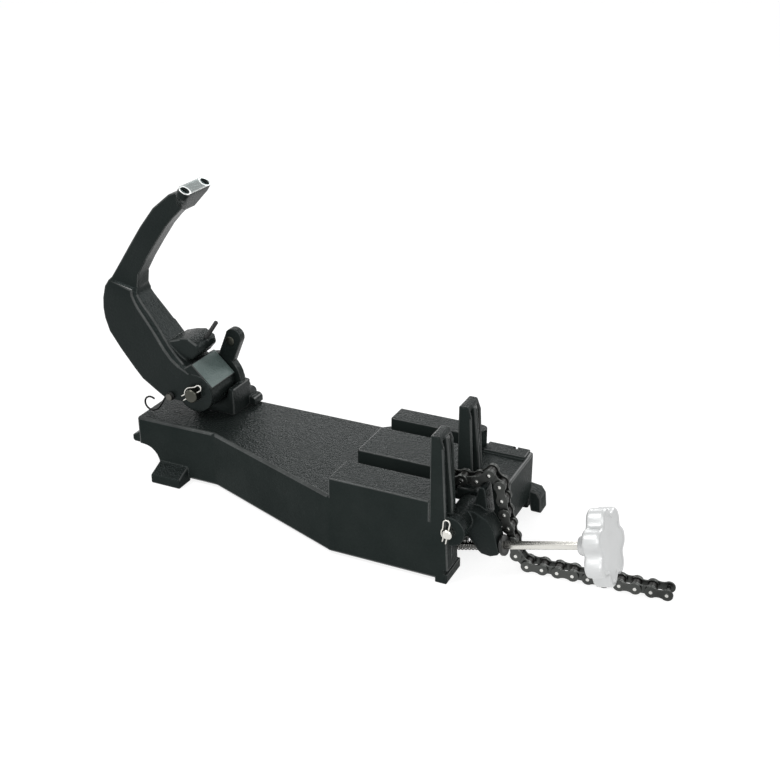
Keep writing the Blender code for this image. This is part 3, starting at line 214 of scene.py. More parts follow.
PAINT_GRAIN = {"Pebble": 430.0, "Lump": 95.0}
PAINT_DARK = (0.0088, 0.0118, 0.0112)
PAINT_LIGHT = (0.0135, 0.0168, 0.016)
PAINT_ROUGHNESS = (0.22, 0.32)
PAINT_GLOSS = 0.1
PAINT_TINT = (0.84, 1.0, 1.0, 1.0)
PAINT_ROUND = 3.0 * MM
ARM_ROUND = 4.2 * MM
PEBBLE_DEPTH = 1.3 * MM
TOP_SPAN = (0.5, 0.9)  # the normal's upward share, from a wall to a top
WALL_PEBBLE = 0.28  # the share of the pebbling that shows on a wall
# Painted highlight: the paint turns lighter along edges, broken up in specks like wear.
EDGE_HIGHLIGHT_SHARES = (0.4, 0.9)
EDGE_HIGHLIGHT_COLOUR = (0.15, 0.162, 0.158)
BARE_STEEL = ((0.22, 0.225, 0.222), (0.34, 0.345, 0.34))
# Painted highlight: the near-white rim colour round the pad's slots and along its edges.
RIM_HIGHLIGHT_COLOUR = (0.8, 0.8, 0.79)
BARE_ROUGHNESS = 0.42
BARE_PEBBLE = 0.25
# Painted shade: the near-black ring round each slot, as if countersunk.
HOLE_SHADE_COLOUR = (0.006, 0.006, 0.006)

# The bare pad at the arm's top.

PAD_NORMAL = Vector((0.529403, 0.0, 0.848371))
PAD_ACROSS = Vector((0.848371, 0.0, -0.529403))
PAD_ALONG = Vector((0.0, 1.0, 0.0))
PAD_POINT = spot(69.25, 49.0, 341.7)
PAD_SKIN = (-0.6 * MM, -0.3 * MM)
HOLE_REACH = 19.5 * MM
# Radii of the painted shade ring and the painted highlight rim round each slot.
HOLE_SHADE_EDGE = (5.6 * MM, 5.2 * MM)
RIM_HIGHLIGHT_EDGE = (7.9 * MM, 7.2 * MM)


def pad_masks(tree):
    """The pad's bare face, a painted dark ring of shade round each slot as if countersunk, and a painted
    highlight rim round that.
    """
    place = tree.nodes.new("ShaderNodeTexCoord").outputs["Object"]

    def from_middle(heading):
        made = add(tree, "ShaderNodeVectorMath", operation="DOT_PRODUCT")
        tree.links.new(place, made.inputs[0])
        made.inputs[1].default_value = heading
        return maths(tree, "SUBTRACT", made.outputs["Value"], heading.dot(PAD_POINT))

    bare = ramp(tree, from_middle(PAD_NORMAL), *PAD_SKIN)
    across = from_middle(PAD_ACROSS)
    along = maths(tree, "SUBTRACT", maths(tree, "ABSOLUTE", from_middle(PAD_ALONG)), HOLE_REACH)
    square = maths(tree, "ADD", maths(tree, "MULTIPLY", across, across), maths(tree, "MULTIPLY", along, along))
    reach = maths(tree, "SQRT", square)
    return bare, ramp(tree, reach, *HOLE_SHADE_EDGE), ramp(tree, reach, *RIM_HIGHLIGHT_EDGE)


def casting_paint(name, round_edge, pad=False, gloss=PAINT_GLOSS, tone=1.0):
    """Thick black paint over a casting, pebbled most on its tops and painted lighter along its edges as a
    highlight; the arm's has the bare pad, with painted shade round its slots and painted highlight rims.
    """
    made, tree, shader = finish_tree(name)
    grain = place_group(tree, GRAIN, **PAINT_GRAIN)
    edge = place_group(tree, EDGES, Radius=round_edge)
    dark, light = (tuple(tone * value for value in colour) for colour in (PAINT_DARK, PAINT_LIGHT))
    colour = blend_colour(tree, grain.outputs["Patch"], dark, light)
    # Painted highlight along the edges, in specks like wear.
    edge_highlight_share = blend_value(tree, grain.outputs["Speck"], *EDGE_HIGHLIGHT_SHARES)
    colour = blend_colour(tree, maths(tree, "MULTIPLY", edge.outputs["Edge"], edge_highlight_share), colour, EDGE_HIGHLIGHT_COLOUR)
    rough = blend_value(tree, grain.outputs["Patch"], *PAINT_ROUGHNESS)
    split = tree.nodes.new("ShaderNodeSeparateXYZ")
    tree.links.new(tree.nodes.new("ShaderNodeNewGeometry").outputs["Normal"], split.inputs["Vector"])
    level = ramp(tree, split.outputs["Z"], *TOP_SPAN)
    height = maths(tree, "MULTIPLY", grain.outputs["Height"], blend_value(tree, level, WALL_PEBBLE, 1.0))
    if pad:
        # On the bare pad: painted shade rings round the slots, painted highlight rims and edges.
        bare, hole, rim = pad_masks(tree)
        steel = blend_colour(tree, grain.outputs["Speck"], *BARE_STEEL)
        steel = blend_colour(tree, maths(tree, "MAXIMUM", rim, edge.outputs["Edge"]), steel, RIM_HIGHLIGHT_COLOUR)
        steel = blend_colour(tree, hole, steel, HOLE_SHADE_COLOUR)
        colour = blend_colour(tree, bare, colour, steel)
        rough = blend_value(tree, bare, rough, BARE_ROUGHNESS)
        height = maths(tree, "MULTIPLY", height, blend_value(tree, bare, 1.0, BARE_PEBBLE))
        tree.links.new(bare, shader.inputs["Metallic"])
    shader.inputs["Specular IOR Level"].default_value = gloss
    shader.inputs["Specular Tint"].default_value = PAINT_TINT
    tree.links.new(colour, shader.inputs["Base Color"])
    tree.links.new(rough, shader.inputs["Roughness"])
    tree.links.new(bump(tree, height, edge.outputs["Normal"], 1.0, PEBBLE_DEPTH), shader.inputs["Normal"])
    return made


# Painted highlight: lighter, glossier paint for rounded edges and chamfer strips.
EDGE_GRAIN = {"Pebble": 300.0, "Lump": 60.0}
EDGE_HIGHLIGHT_SPECK = (0.55, 1.0)
EDGE_COLOURS = ((0.022, 0.025, 0.0245), (0.1, 0.109, 0.106))
EDGE_ROUGHNESS = (0.2, 0.3)
EDGE_GLOSS = 0.24


def edge_highlight_paint(name):
    """Paint made lighter along a casting's outer edges as a painted highlight, broken up by patches and specks
    like wear.
    """
    made, tree, shader = finish_tree(name)
    grain = place_group(tree, GRAIN, **EDGE_GRAIN)
    speck = blend_value(tree, grain.outputs["Speck"], *EDGE_HIGHLIGHT_SPECK)
    highlight_and_wear = maths(tree, "MULTIPLY", grain.outputs["Patch"], speck)
    shader.inputs["Specular IOR Level"].default_value = EDGE_GLOSS
    tree.links.new(blend_colour(tree, highlight_and_wear, *EDGE_COLOURS), shader.inputs["Base Color"])
    tree.links.new(blend_value(tree, highlight_and_wear, *EDGE_ROUGHNESS), shader.inputs["Roughness"])
    return made


# Plain metals.

METAL_GRAIN = {"Pebble": 1500.0, "Lump": 240.0}
METAL_GRAIN_DEPTH = 0.4 * MM
METAL_ROUND = 0.4 * MM
METAL_HIGHLIGHT_GAIN = 1.6
METAL_HIGHLIGHT_SHARE = 0.6


def metal(name, dark, light, rough, round_edge=METAL_ROUND, depth=0.12, metallic=1.0, gloss=0.5):
    """A plain metal finish: patches of tone, fine grain and edges painted lighter as a highlight."""
    made, tree, shader = finish_tree(name)
    grain = place_group(tree, GRAIN, **METAL_GRAIN)
    edge = place_group(tree, EDGES, Radius=round_edge)
    colour = blend_colour(tree, grain.outputs["Patch"], dark, light)
    # Painted highlight: the colour is lighter along edges.
    bright = tuple(min(1.0, value * METAL_HIGHLIGHT_GAIN) for value in light)
    catch = maths(tree, "MULTIPLY", edge.outputs["Edge"], METAL_HIGHLIGHT_SHARE)
    shader.inputs["Metallic"].default_value = metallic
    shader.inputs["Specular IOR Level"].default_value = gloss
    tree.links.new(blend_colour(tree, catch, colour, bright), shader.inputs["Base Color"])
    tree.links.new(blend_value(tree, grain.outputs["Speck"], *rough), shader.inputs["Roughness"])
    normal = bump(tree, grain.outputs["Height"], edge.outputs["Normal"], depth, METAL_GRAIN_DEPTH)
    tree.links.new(normal, shader.inputs["Normal"])
    return made


FINISHES = {
    "black_paint": casting_paint("black_casting_paint", PAINT_ROUND),
    "plain_steel": metal("plain_steel", (0.045, 0.046, 0.038), (0.105, 0.104, 0.09), (0.34, 0.5)),
    "black_oxide_steel": metal("black_oxide_steel", (0.02, 0.021, 0.021), (0.055, 0.056, 0.055), (0.32, 0.48)),
    "bright_plated_steel": metal("bright_plated_steel", (0.58, 0.57, 0.53), (0.74, 0.73, 0.69), (0.27, 0.38)),
    "oiled_chain_steel": metal("oiled_chain_steel", (0.042, 0.044, 0.042), (0.092, 0.096, 0.092), (0.36, 0.52)),
    "cast_aluminium": metal("cast_aluminium", (0.58, 0.59, 0.59), (0.66, 0.67, 0.67), (0.36, 0.5), 1.2 * MM,
                            depth=0.3, metallic=0.45),
}
# Painted highlight for the castings' rounded edges and chamfer strips.
EDGE_HIGHLIGHT_PAINT = edge_highlight_paint("painted_edge_highlight")
ARM_PAINT = casting_paint("arm_paint_and_pad", ARM_ROUND, pad=True)
# Painted shade: upright faces take their own copy of the paint, with almost no gloss and 1.6 times its colour,
# so walls read darker and flatter than tops.
SHADED_WALL_PAINT = casting_paint("shaded_wall_paint", PAINT_ROUND, gloss=0.012, tone=1.6)
# Painted highlight: the flat across the arm's hub is painted twelve times lighter, as if lit.
LIT_HUB_FLAT_PAINT = casting_paint("painted_lit_hub_flat", PAINT_ROUND, gloss=0.2, tone=12.0)
# Bare steel pin ends, painted brighter still as a highlight.
PIN_END_HIGHLIGHT = metal("bright_pin_end_highlight", (0.5, 0.5, 0.48), (0.8, 0.8, 0.77), (0.22, 0.34))
# Painted shade: near-black rollers stand in for the shade between the plates.
ROLLER_SHADE = metal("shaded_roller", (0.01, 0.01, 0.009), (0.026, 0.025, 0.023), (0.35, 0.5), metallic=0.1,
                    gloss=0.12)
# Painted shade: the spring's steel is darkened for the shade it sits in.
SHADED_SPRING_STEEL = metal("shaded_spring_steel", (0.09, 0.09, 0.085), (0.2, 0.2, 0.19), (0.22, 0.34))
# A darker steel for the thread than for the rod.
DARK_THREAD_STEEL = metal("dark_thread", (0.10, 0.10, 0.095), (0.22, 0.22, 0.21), (0.26, 0.4))
DULL_SCREW = metal("dull_screw", (0.07, 0.07, 0.064), (0.15, 0.148, 0.135), (0.3, 0.45))
OWN_FINISH = {
    "saw_arm": ARM_PAINT,
    "hook_screw": DULL_SCREW,
    "wire_hook": FINISHES["black_oxide_steel"],
    # The spring takes the painted shade steel.
    "screw_spring": SHADED_SPRING_STEEL,
}

# The CAD's own pieces: a finish for each, corners joined, and wires rounded.

WIRES = ("pivot_hairpin", "vise_hairpin", "wire_hook", "screw_spring")
WIRE_LEVELS = 2
SLOT_OF = {entry["node"]: entry["material_slot"] for entry in frame["record"]["subparts"]}
for name, piece in NODES.items():
    piece.data.materials.clear()
    piece.data.materials.append(OWN_FINISH.get(name, FINISHES[SLOT_OF[name]]))
    piece.data.shade_smooth()
    weld = piece.modifiers.new("join_corners", "WELD")
    weld.merge_threshold = WELD_GAP
    if name in WIRES:
        rounding = piece.modifiers.new("round_wire", "SUBSURF")
        rounding.levels = WIRE_LEVELS
        rounding.render_levels = WIRE_LEVELS
    else:
        split = piece.modifiers.new("hard_edges", "EDGE_SPLIT")
        split.split_angle = math.radians(CREASE)


def smooth(piece, limit):
    """Shade a piece smooth, keeping edges sharper than the limit."""
    piece.data.shade_smooth()
    piece.data.set_sharp_from_angle(angle=math.radians(limit))


# Castings with their outer edges rounded, as they leave the mould.

# The second finish is the painted edge highlight.
PLAIN, HIGHLIGHT_STRIP, OWN = range(3)  # finish numbers of a casting's faces
CASTING_ROUNDING = 1.8  # mm
BRACKET_ROUNDING = 1.4  # mm
ROUNDING_SHARES = (1.0, 0.6, 0.35)  # the full width first, then less where there's less room
ROUNDING_STEPS = 3
LEVEL_ANGLE = 0.4  # degrees: faces that turn by less are joined
LONG_EDGE = 5.0 * MM
OUTER_TURN = (50.0, 130.0)  # degrees between the faces at an outer edge
ROOM_SHARE = 1.5  # room that the edges beside it leave, as a share of the rounding
STRIP_LENGTH = 12.0 * MM
STRIP_WIDTH = 4.0 * MM
STRIP_SIDE_SHARE = 0.6
STRIP_TURN = (18.0, 62.0)  # degrees between a chamfer's strip and the faces beside it
HUB_FLAT_NORMAL = Vector((0.69, 0.0, 0.724)).normalized()
HUB_FLAT_POINT = spot(80.0, 45.0, 128.7)
HUB_FLAT_MATCH = 0.98
HUB_FLAT_GAP = 3.0 * MM
HUB_FLAT_REACH = 40.0 * MM
WALL_LEAN = 0.3  # the most that a wall's normal points up or down
FOOT_HOLE = spot(47.0, -11.0, 0.0)
FOOT_HOLE_REACH = 4.2 * MM


def linked_groups(edges):
    """Sort edges into groups that touch one another."""
    waiting = set(edges)
    groups = []
    for seed in edges:
        if seed not in waiting:
            continue
        waiting.discard(seed)
        group, queue = [], [seed]
        while queue:
            edge = queue.pop()
            group.append(edge)
            for corner in edge.verts:
                for other in corner.link_edges:
                    if other in waiting:
                        waiting.discard(other)
                        queue.append(other)
        groups.append(group)
    return groups


def is_outer(edge, reach):
    """Whether an edge is a long outer corner with room for a rounding."""
    if len(edge.link_faces) != 2 or not edge.is_convex or edge.calc_length() < LONG_EDGE:
        return False
    if not OUTER_TURN[0] < math.degrees(edge.calc_face_angle(0.0)) < OUTER_TURN[1]:
        return False
    beside = [other for corner in edge.verts for other in corner.link_edges if other is not edge]
    return min(other.calc_length() for other in beside) > ROOM_SHARE * reach


def is_chamfer(face):
    """Whether a face is a narrow strip along a casting's outer edge."""
    longest = max(edge.calc_length() for edge in face.edges)
    if longest <= STRIP_LENGTH or face.calc_area() / longest >= STRIP_WIDTH:
        return False
    sides = [edge for edge in face.edges if edge.calc_length() > STRIP_SIDE_SHARE * longest]
    turns = [math.degrees(side.calc_face_angle_signed(0.0)) for side in sides]
    return len(turns) > 1 and all(STRIP_TURN[0] < turn < STRIP_TURN[1] for turn in turns)


def is_hub_flat(face):
    """Whether a face is in the flat across the top of the arm's hub."""
    if face.normal.dot(HUB_FLAT_NORMAL) <= HUB_FLAT_MATCH:
        return False
    away = face.calc_center_median() - HUB_FLAT_POINT
    return abs(away.dot(HUB_FLAT_NORMAL)) < HUB_FLAT_GAP and away.length < HUB_FLAT_REACH


def is_wall(face):
    """Whether a face stands upright, or nearly."""
    return abs(face.normal.z) < WALL_LEAN


def close_foot_hole(shape):
    """Close the near foot's screw hole, which the photograph doesn't show."""
    wall = []
    for face in shape.faces:
        if all((corner.co - FOOT_HOLE).xy.length < FOOT_HOLE_REACH for corner in face.verts):
            wall.append(face)
    bmesh.ops.delete(shape, geom=wall, context="FACES")
    bmesh.ops.holes_fill(shape, edges=[edge for edge in shape.edges if edge.is_boundary], sides=0)


def rounded_casting(name, node, body, width, finish, own_face=None, own_finish=None):
    """A copy of a casting with its long outer edges rounded and some faces in a finish of their own."""
    shape = bmesh.new()
    shape.from_mesh(NODES[node].data)
    bmesh.ops.remove_doubles(shape, verts=shape.verts, dist=WELD_GAP)
    if node == "base_casting":
        close_foot_hole(shape)
    bmesh.ops.dissolve_limit(shape, angle_limit=math.radians(LEVEL_ANGLE), verts=shape.verts, edges=shape.edges)
    shape.normal_update()
    for face in shape.faces:
        # Chamfer strips take the painted edge highlight.
        if is_chamfer(face):
            face.material_index = HIGHLIGHT_STRIP
    for share in ROUNDING_SHARES:
        reach = width * share * MM
        for group in linked_groups([edge for edge in shape.edges if is_outer(edge, reach)]):
            group = [edge for edge in group if edge.is_valid]
            # The rounded faces take the painted edge highlight.
            bmesh.ops.bevel(shape, geom=group, offset=reach, offset_type="OFFSET", segments=ROUNDING_STEPS,
                            profile=0.5, affect="EDGES", clamp_overlap=True, loop_slide=True, material=HIGHLIGHT_STRIP)
        shape.normal_update()
    bmesh.ops.dissolve_degenerate(shape, dist=WELD_GAP, edges=shape.edges)
    shape.normal_update()
    if own_face:
        for face in shape.faces:
            if face.material_index == PLAIN and own_face(face):
                face.material_index = OWN
    mesh = bpy.data.meshes.new(name)
    shape.to_mesh(mesh)
    shape.free()
    mesh.materials.append(finish)
    mesh.materials.append(EDGE_HIGHLIGHT_PAINT)
    if own_finish:
        mesh.materials.append(own_finish)
    made = add_object(name, mesh)
    smooth(made, CREASE)
    level = made.modifiers.new("level_flats", "WEIGHTED_NORMAL")
    level.keep_sharp = True
    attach(made, body)
    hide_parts(node)


# Upright faces of the base take the painted-shade copy of the paint.
rounded_casting("base_rounded", "base_casting", "base", CASTING_ROUNDING, FINISHES["black_paint"],
                is_wall, SHADED_WALL_PAINT)
rounded_casting("bracket_rounded", "pivot_bracket", "base", BRACKET_ROUNDING, FINISHES["black_paint"])
# The hub flat takes the painted highlight copy of the paint.
rounded_casting("arm_rounded", "saw_arm", "arm", CASTING_ROUNDING, ARM_PAINT, is_hub_flat, LIT_HUB_FLAT_PAINT)


# Mesh tools for the detailed pieces. Sizes are in millimetres until a piece is placed.

THREAD_STEPS = 6  # rings to each turn of a thread
THREAD_SLOPE = 1.5  # above 1, it leaves a flat at the thread's root


class Shape:
    """Points and faces of one piece, with a finish number for each face."""

    def __init__(self):
        self.points = []
        self.faces = []
        self.finish = []

    def ring(self, points):
        """Add points, and give their numbers."""
        first = len(self.points)
        self.points.extend(Vector(point) for point in points)
        return list(range(first, len(self.points)))

    def face(self, corners, finish=0):
        """Add one face."""
        self.faces.append(tuple(corners))
        self.finish.append(finish)

    def skin(self, rings, finish=0):
        """Join each ring to the next."""
        for low, high in zip(rings, rings[1:]):
            count = len(low)
            for index in range(count):
                after = (index + 1) % count
                self.face((low[index], low[after], high[after], high[index]), finish)

    def cap(self, rings, finish=0):
        """Close the first and the last ring with flat ends."""
        self.face(rings[0], finish)
        self.face(rings[-1], finish)

    def make(self, name, place, finishes, limit, body, slot, nodes):
        """Make the piece at its place, on its body and in place of its CAD nodes."""
        mesh = bpy.data.meshes.new(name)
        mesh.from_pydata([place @ (point * MM) for point in self.points], [], self.faces)
        for finish in finishes:
            mesh.materials.append(finish)
        mesh.polygons.foreach_set("material_index", self.finish)
        shape = bmesh.new()
        shape.from_mesh(mesh)
        bmesh.ops.recalc_face_normals(shape, faces=shape.faces)
        shape.to_mesh(mesh)
        shape.free()
        made = add_object(name, mesh)
        smooth(made, limit)
        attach(made, body)
        if nodes:
            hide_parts(*nodes)


def round_ring(radius, along, sides, axis="Z", x=0.0):
    """A circle across an axis that stands at some x."""
    points = []
    for index in range(sides):
        angle = 2.0 * math.pi * index / sides
        flat = (x + radius * math.cos(angle), radius * math.sin(angle))
        points.append((flat[0], along, flat[1]) if axis == "Y" else (flat[0], flat[1], along))
    return points


def turned_rings(shape, profile, sides, axis="Z", x=0.0):
    """Rings of a turned form from (along, radius) pairs."""
    return [shape.ring(round_ring(radius, along, sides, axis, x)) for along, radius in profile]


def thread_rings(shape, sides, start, end, crest, root, pitch):
    """Rings of a screw thread from start to end, fading in and out."""
    rings = []
    count = int(round((end - start) / pitch * THREAD_STEPS))
    for index in range(count + 1):
        along = start + (end - start) * index / count
        fade = min(1.0, (along - start) / pitch, (end - along) / pitch)
        ring = []
        for side in range(sides):
            angle = 2.0 * math.pi * side / sides
            turn = (along / pitch - side / sides) % 1.0
            wave = abs(2.0 * turn - 1.0)
            radius = crest - (crest - root) * fade * min(1.0, THREAD_SLOPE * wave)
            ring.append((radius * math.cos(angle), radius * math.sin(angle), along))
        rings.append(shape.ring(ring))
    return rings


def aim(place, heading):
    """A transform that puts the Z axis of a shape along a heading."""
    return Matrix.Translation(place) @ heading.to_track_quat("Z", "Y").to_matrix().to_4x4()


# Stop stud: a threaded rod in the arm's cross bar.

STUD_PLACE = spot(66.5, 55.0, 161.5)
STUD_LEAN = math.radians(55.0)
STUD_SIDES = 20
STUD_LOW_END = ((-12.0, 1.7), (-11.0, 2.6))
STUD_THREAD = {"start": -2.0, "end": 26.0, "crest": 2.6, "root": 2.1, "pitch": 0.9}
STUD_HIGH_END = ((26.4, 2.3), (27.0, 1.6))


def stop_stud():
    """The stud, from its low end in the bar to its high end."""
    heading = Vector((math.cos(STUD_LEAN), 0.0, math.sin(STUD_LEAN)))
    shape = Shape()
    rings = turned_rings(shape, STUD_LOW_END, STUD_SIDES)
    rings += thread_rings(shape, STUD_SIDES, **STUD_THREAD)
    rings += turned_rings(shape, STUD_HIGH_END, STUD_SIDES)
    shape.skin(rings)
    shape.cap(rings)
    shape.make("stop_stud_thread", aim(STUD_PLACE, heading), [FINISHES["black_oxide_steel"]], THREAD_CREASE,
               "arm", "plain_steel", ["stop_stud"])


stop_stud()


# Vise screw: a threaded end, a shoulder and the plain rod, measured from the swivel nut's centre.

NUT_CENTRE = spot(405.0, -27.5, 20.2)
COLLAR_SEAT = spot(463.1, -27.5, 35.3)
SCREW_HEADING = (COLLAR_SEAT - NUT_CENTRE).normalized()
SEAT_AT = (COLLAR_SEAT - NUT_CENTRE).length / MM
SHOULDER_AT = SEAT_AT + 4.3
ROD_END_AT = SEAT_AT + 111.5
SCREW_SIDES = 28
SCREW_TIP = ((-14.0, 2.7), (-13.2, 3.5))
SCREW_THREAD = {"start": -13.0, "end": 56.0, "crest": 3.7, "root": 3.0, "pitch": 1.5}
SCREW_ROD = ((SHOULDER_AT - 0.02, 3.7), (SHOULDER_AT, 4.0), (SHOULDER_AT + 0.4, 4.3), (ROD_END_AT, 4.3))


def vise_screw():
    """The screw, in plated steel with a darker thread."""
    rod, thread = range(2)
    shape = Shape()
    rings = turned_rings(shape, SCREW_TIP, SCREW_SIDES)
    rings += thread_rings(shape, SCREW_SIDES, **SCREW_THREAD)
    threaded = len(rings)
    rings += turned_rings(shape, SCREW_ROD, SCREW_SIDES)
    shape.skin(rings[:threaded], thread)
    shape.skin(rings[threaded - 1:], rod)
    shape.face(rings[0], thread)
    shape.face(rings[-1], rod)
    shape.make("vise_screw_thread", aim(NUT_CENTRE, SCREW_HEADING),
               [FINISHES["bright_plated_steel"], DARK_THREAD_STEEL], THREAD_CREASE,
               "screw", "bright_plated_steel", ["vise_screw"])


vise_screw()


# Star knob: round lobes, a dished face and a coned boss.

KNOB_PLACE = COLLAR_SEAT + SCREW_HEADING * 107.5 * MM
KNOB_SIDE = Vector((0.0, -1.0, 0.0))
KNOB_UP = -KNOB_SIDE.cross(SCREW_HEADING)
KNOB_RADIUS = 40.0
KNOB_HALF = 9.5  # half of the thickness
KNOB_LOBES = 7
KNOB_POINTS = KNOB_LOBES * 16
KNOB_PHASE = math.radians(14.0)
KNOB_LOBE_DEPTH = 7.4
KNOB_LOBE_POWER = 1.5  # above 1, it widens the lobes
KNOB_RIM = 3.6
KNOB_RIM_TURNS = [math.radians(90.0 * step / 5.0) for step in range(6)]
KNOB_BOSS = (  # radius and distance behind the back, from inside the bore out to the back
    (4.6, 2.0), (4.6, 15.0), (7.6, 15.0), (8.6, 14.6), (9.4, 13.6), (12.4, 3.2), (14.0, 1.6), (17.0, 1.0),
)
KNOB_BACK = ((0.55, 14.0, 0.8), (0.9, 6.5, 0.1))  # share of the lobes, inset, distance behind the back
KNOB_FACE = ((1.0, 5.4, 0.0), (0.95, 6.2, 0.35), (0.9, 7.0, 0.9), (0.8, 9.0, 1.0))  # the same, under the face
KNOB_DISH = ((22.0, 1.0), (8.0, 1.0))  # radius and distance under the face


def knob_circle(radius):
    """Radii of a plain circle, one for each of the knob's points."""
    return [radius] * KNOB_POINTS


def knob_lobes(share, inset):
    """Radii of the lobed outline, drawn in by an inset and blended with a circle."""
    radii = []
    for index in range(KNOB_POINTS):
        angle = 2.0 * math.pi * index / KNOB_POINTS - KNOB_PHASE
        wave = (1.0 - math.cos(KNOB_LOBES * angle)) / 2.0
        radii.append(KNOB_RADIUS - inset - KNOB_LOBE_DEPTH * share * wave ** KNOB_LOBE_POWER)
    return radii


def star_knob():
    """The knob, from its boss round the rim to the dished face."""
    shape = Shape()
    rings = []

    def ring(radii, depth):
        points = []
        for index, radius in enumerate(radii):
            angle = 2.0 * math.pi * index / KNOB_POINTS
            spoke = KNOB_SIDE * math.cos(angle) + KNOB_UP * math.sin(angle)
            points.append(SCREW_HEADING * depth + spoke * radius)
        rings.append(shape.ring(points))

    for radius, behind in KNOB_BOSS:
        ring(knob_circle(radius), -KNOB_HALF - behind)
    for share, inset, behind in KNOB_BACK:
        ring(knob_lobes(share, inset), -KNOB_HALF - behind)
    for turn in KNOB_RIM_TURNS:
        ring(knob_lobes(1.0, KNOB_RIM * (1.0 - math.sin(turn))), -KNOB_HALF + KNOB_RIM * (1.0 - math.cos(turn)))
    for turn in KNOB_RIM_TURNS:
        ring(knob_lobes(1.0, KNOB_RIM * (1.0 - math.cos(turn))), KNOB_HALF - KNOB_RIM * (1.0 - math.sin(turn)))
    for share, inset, under in KNOB_FACE:
        ring(knob_lobes(share, inset), KNOB_HALF - under)
    for radius, under in KNOB_DISH:
        ring(knob_circle(radius), KNOB_HALF - under)
    shape.skin(rings)
    shape.cap(rings)
    shape.make("star_knob_lobes", Matrix.Translation(KNOB_PLACE), [FINISHES["cast_aluminium"]], FINE_CREASE,
               "screw", "cast_aluminium", ["star_knob"])


star_knob()


# Roller chain: waisted plates with rolled edges, bushed rollers and riveted pins.

PITCH = 15.875
PLATE_THICKNESS = 2.03
PLATE_HEAD = 6.4
PLATE_DIP = 0.74
HEAD_START = 52.0  # degrees
HEAD_SWEEP = 256.0  # degrees
HEAD_STEPS = 18
WAIST_STEPS = 6
EDGE_ROLL = 0.38
INNER_HALF = 4.3
OUTER_HALF = 6.68
PIN_REACH = 9.31
PIN_RADIUS = 2.5
PIN_SIDES = 18
PIN_DOME = ((PIN_REACH, 1.1), (PIN_REACH - 0.12, 1.8), (PIN_REACH - 0.35, 2.3), (PIN_REACH - 0.6, PIN_RADIUS))
PIN_PROFILE = [(-along, radius) for along, radius in PIN_DOME] + list(reversed(PIN_DOME))
BORE_RADIUS = PIN_RADIUS + 0.3
BORE_SIDES = 16
ROLLER_SIDES = 20
ROLLER_HALF = INNER_HALF - 0.05
ROLLER_PROFILE = (
    (-ROLLER_HALF, BORE_RADIUS), (-ROLLER_HALF, 4.5), (0.5 - ROLLER_HALF, 5.05),
    (ROLLER_HALF - 0.5, 5.05), (ROLLER_HALF, 4.5), (ROLLER_HALF, BORE_RADIUS),
    (-ROLLER_HALF, BORE_RADIUS),
)
CHAIN_YAW = 0.072
CHAIN_ANCHOR = (386.0, 80.0)  # x and z of the first pin
CHAIN_LINE = (486.0, -4.7)  # x and y of a place on the chain's line, seen from above
HANGING = (45.0, 8.0, 7.0, 36.0, -44.0, -79.0, -79.0, -72.5, -72.5, -72.5)  # degrees, link by link
FLOOR_PIN_HEIGHT = 6.7
FLOOR_LINKS = 9
MOVING_LINKS = {19: "chain_end_1", 20: "chain_end_2"}
PLATES, TURNED = range(2)  # finish numbers of a link's faces


def chain_route():
    """The first pin's place and the heading of each link, from the anchor to the free end."""
    across, height = CHAIN_ANCHOR
    start = CHAIN_LINE[1] + CHAIN_YAW * (across - CHAIN_LINE[0])
    headings = [math.radians(value) for value in HANGING]
    drop = height + sum(PITCH * math.sin(value) for value in headings)
    headings.append(math.asin((FLOOR_PIN_HEIGHT - drop) / PITCH))
    headings += [0.0] * FLOOR_LINKS
    route = []
    run = 0.0
    for value in headings:
        pin = spot(across + run * math.cos(CHAIN_YAW), start + run * math.sin(CHAIN_YAW), height)
        route.append((pin, value))
        run += PITCH * math.cos(value)
        height += PITCH * math.sin(value)
    return route


def plate_outline(inset):
    """A waisted plate outline between two pin centres."""
    radius = PLATE_HEAD - inset
    half = []
    for step in range(HEAD_STEPS + 1):
        angle = math.radians(HEAD_START + HEAD_SWEEP * step / HEAD_STEPS)
        half.append((radius * math.cos(angle), radius * math.sin(angle)))
    low = half[-1]
    for step in range(1, WAIST_STEPS):
        share = step / WAIST_STEPS
        rise = PLATE_DIP * (1.0 - (2.0 * share - 1.0) ** 2)
        half.append((low[0] + (PITCH - 2.0 * low[0]) * share, low[1] + rise))
    return half + [(PITCH - x, -z) for x, z in half]


def hole_outline(x, radius):
    """A round hole, drawn the other way round from an outline."""
    points = []
    for index in range(BORE_SIDES):
        angle = -2.0 * math.pi * index / BORE_SIDES
        points.append((x + radius * math.cos(angle), radius * math.sin(angle)))
    return points


def link_plate(shape, low, high, bore):
    """One link plate with rolled edges and, where a bore is given, two holes."""
    levels = ((low, EDGE_ROLL), (low + EDGE_ROLL, 0.0), (high - EDGE_ROLL, 0.0), (high, EDGE_ROLL))
    outer = [shape.ring([(x, y, z) for x, z in plate_outline(inset)]) for y, inset in levels]
    shape.skin(outer, PLATES)
    loops = [outer]
    if bore:
        for x in (0.0, PITCH):
            rings = [shape.ring([(px, y, pz) for px, pz in hole_outline(x, bore)]) for y in (low, high)]
            shape.skin(rings, PLATES)
            loops.append(rings)
    for end in (0, -1):
        borders = [rings[end] for rings in loops]
        flat = [index for border in borders for index in border]
        drawn = [[Vector((shape.points[index].x, shape.points[index].z, 0.0)) for index in border]
                 for border in borders]
        for corners in tessellate_polygon(drawn):
            shape.face([flat[corner] for corner in corners], PLATES)


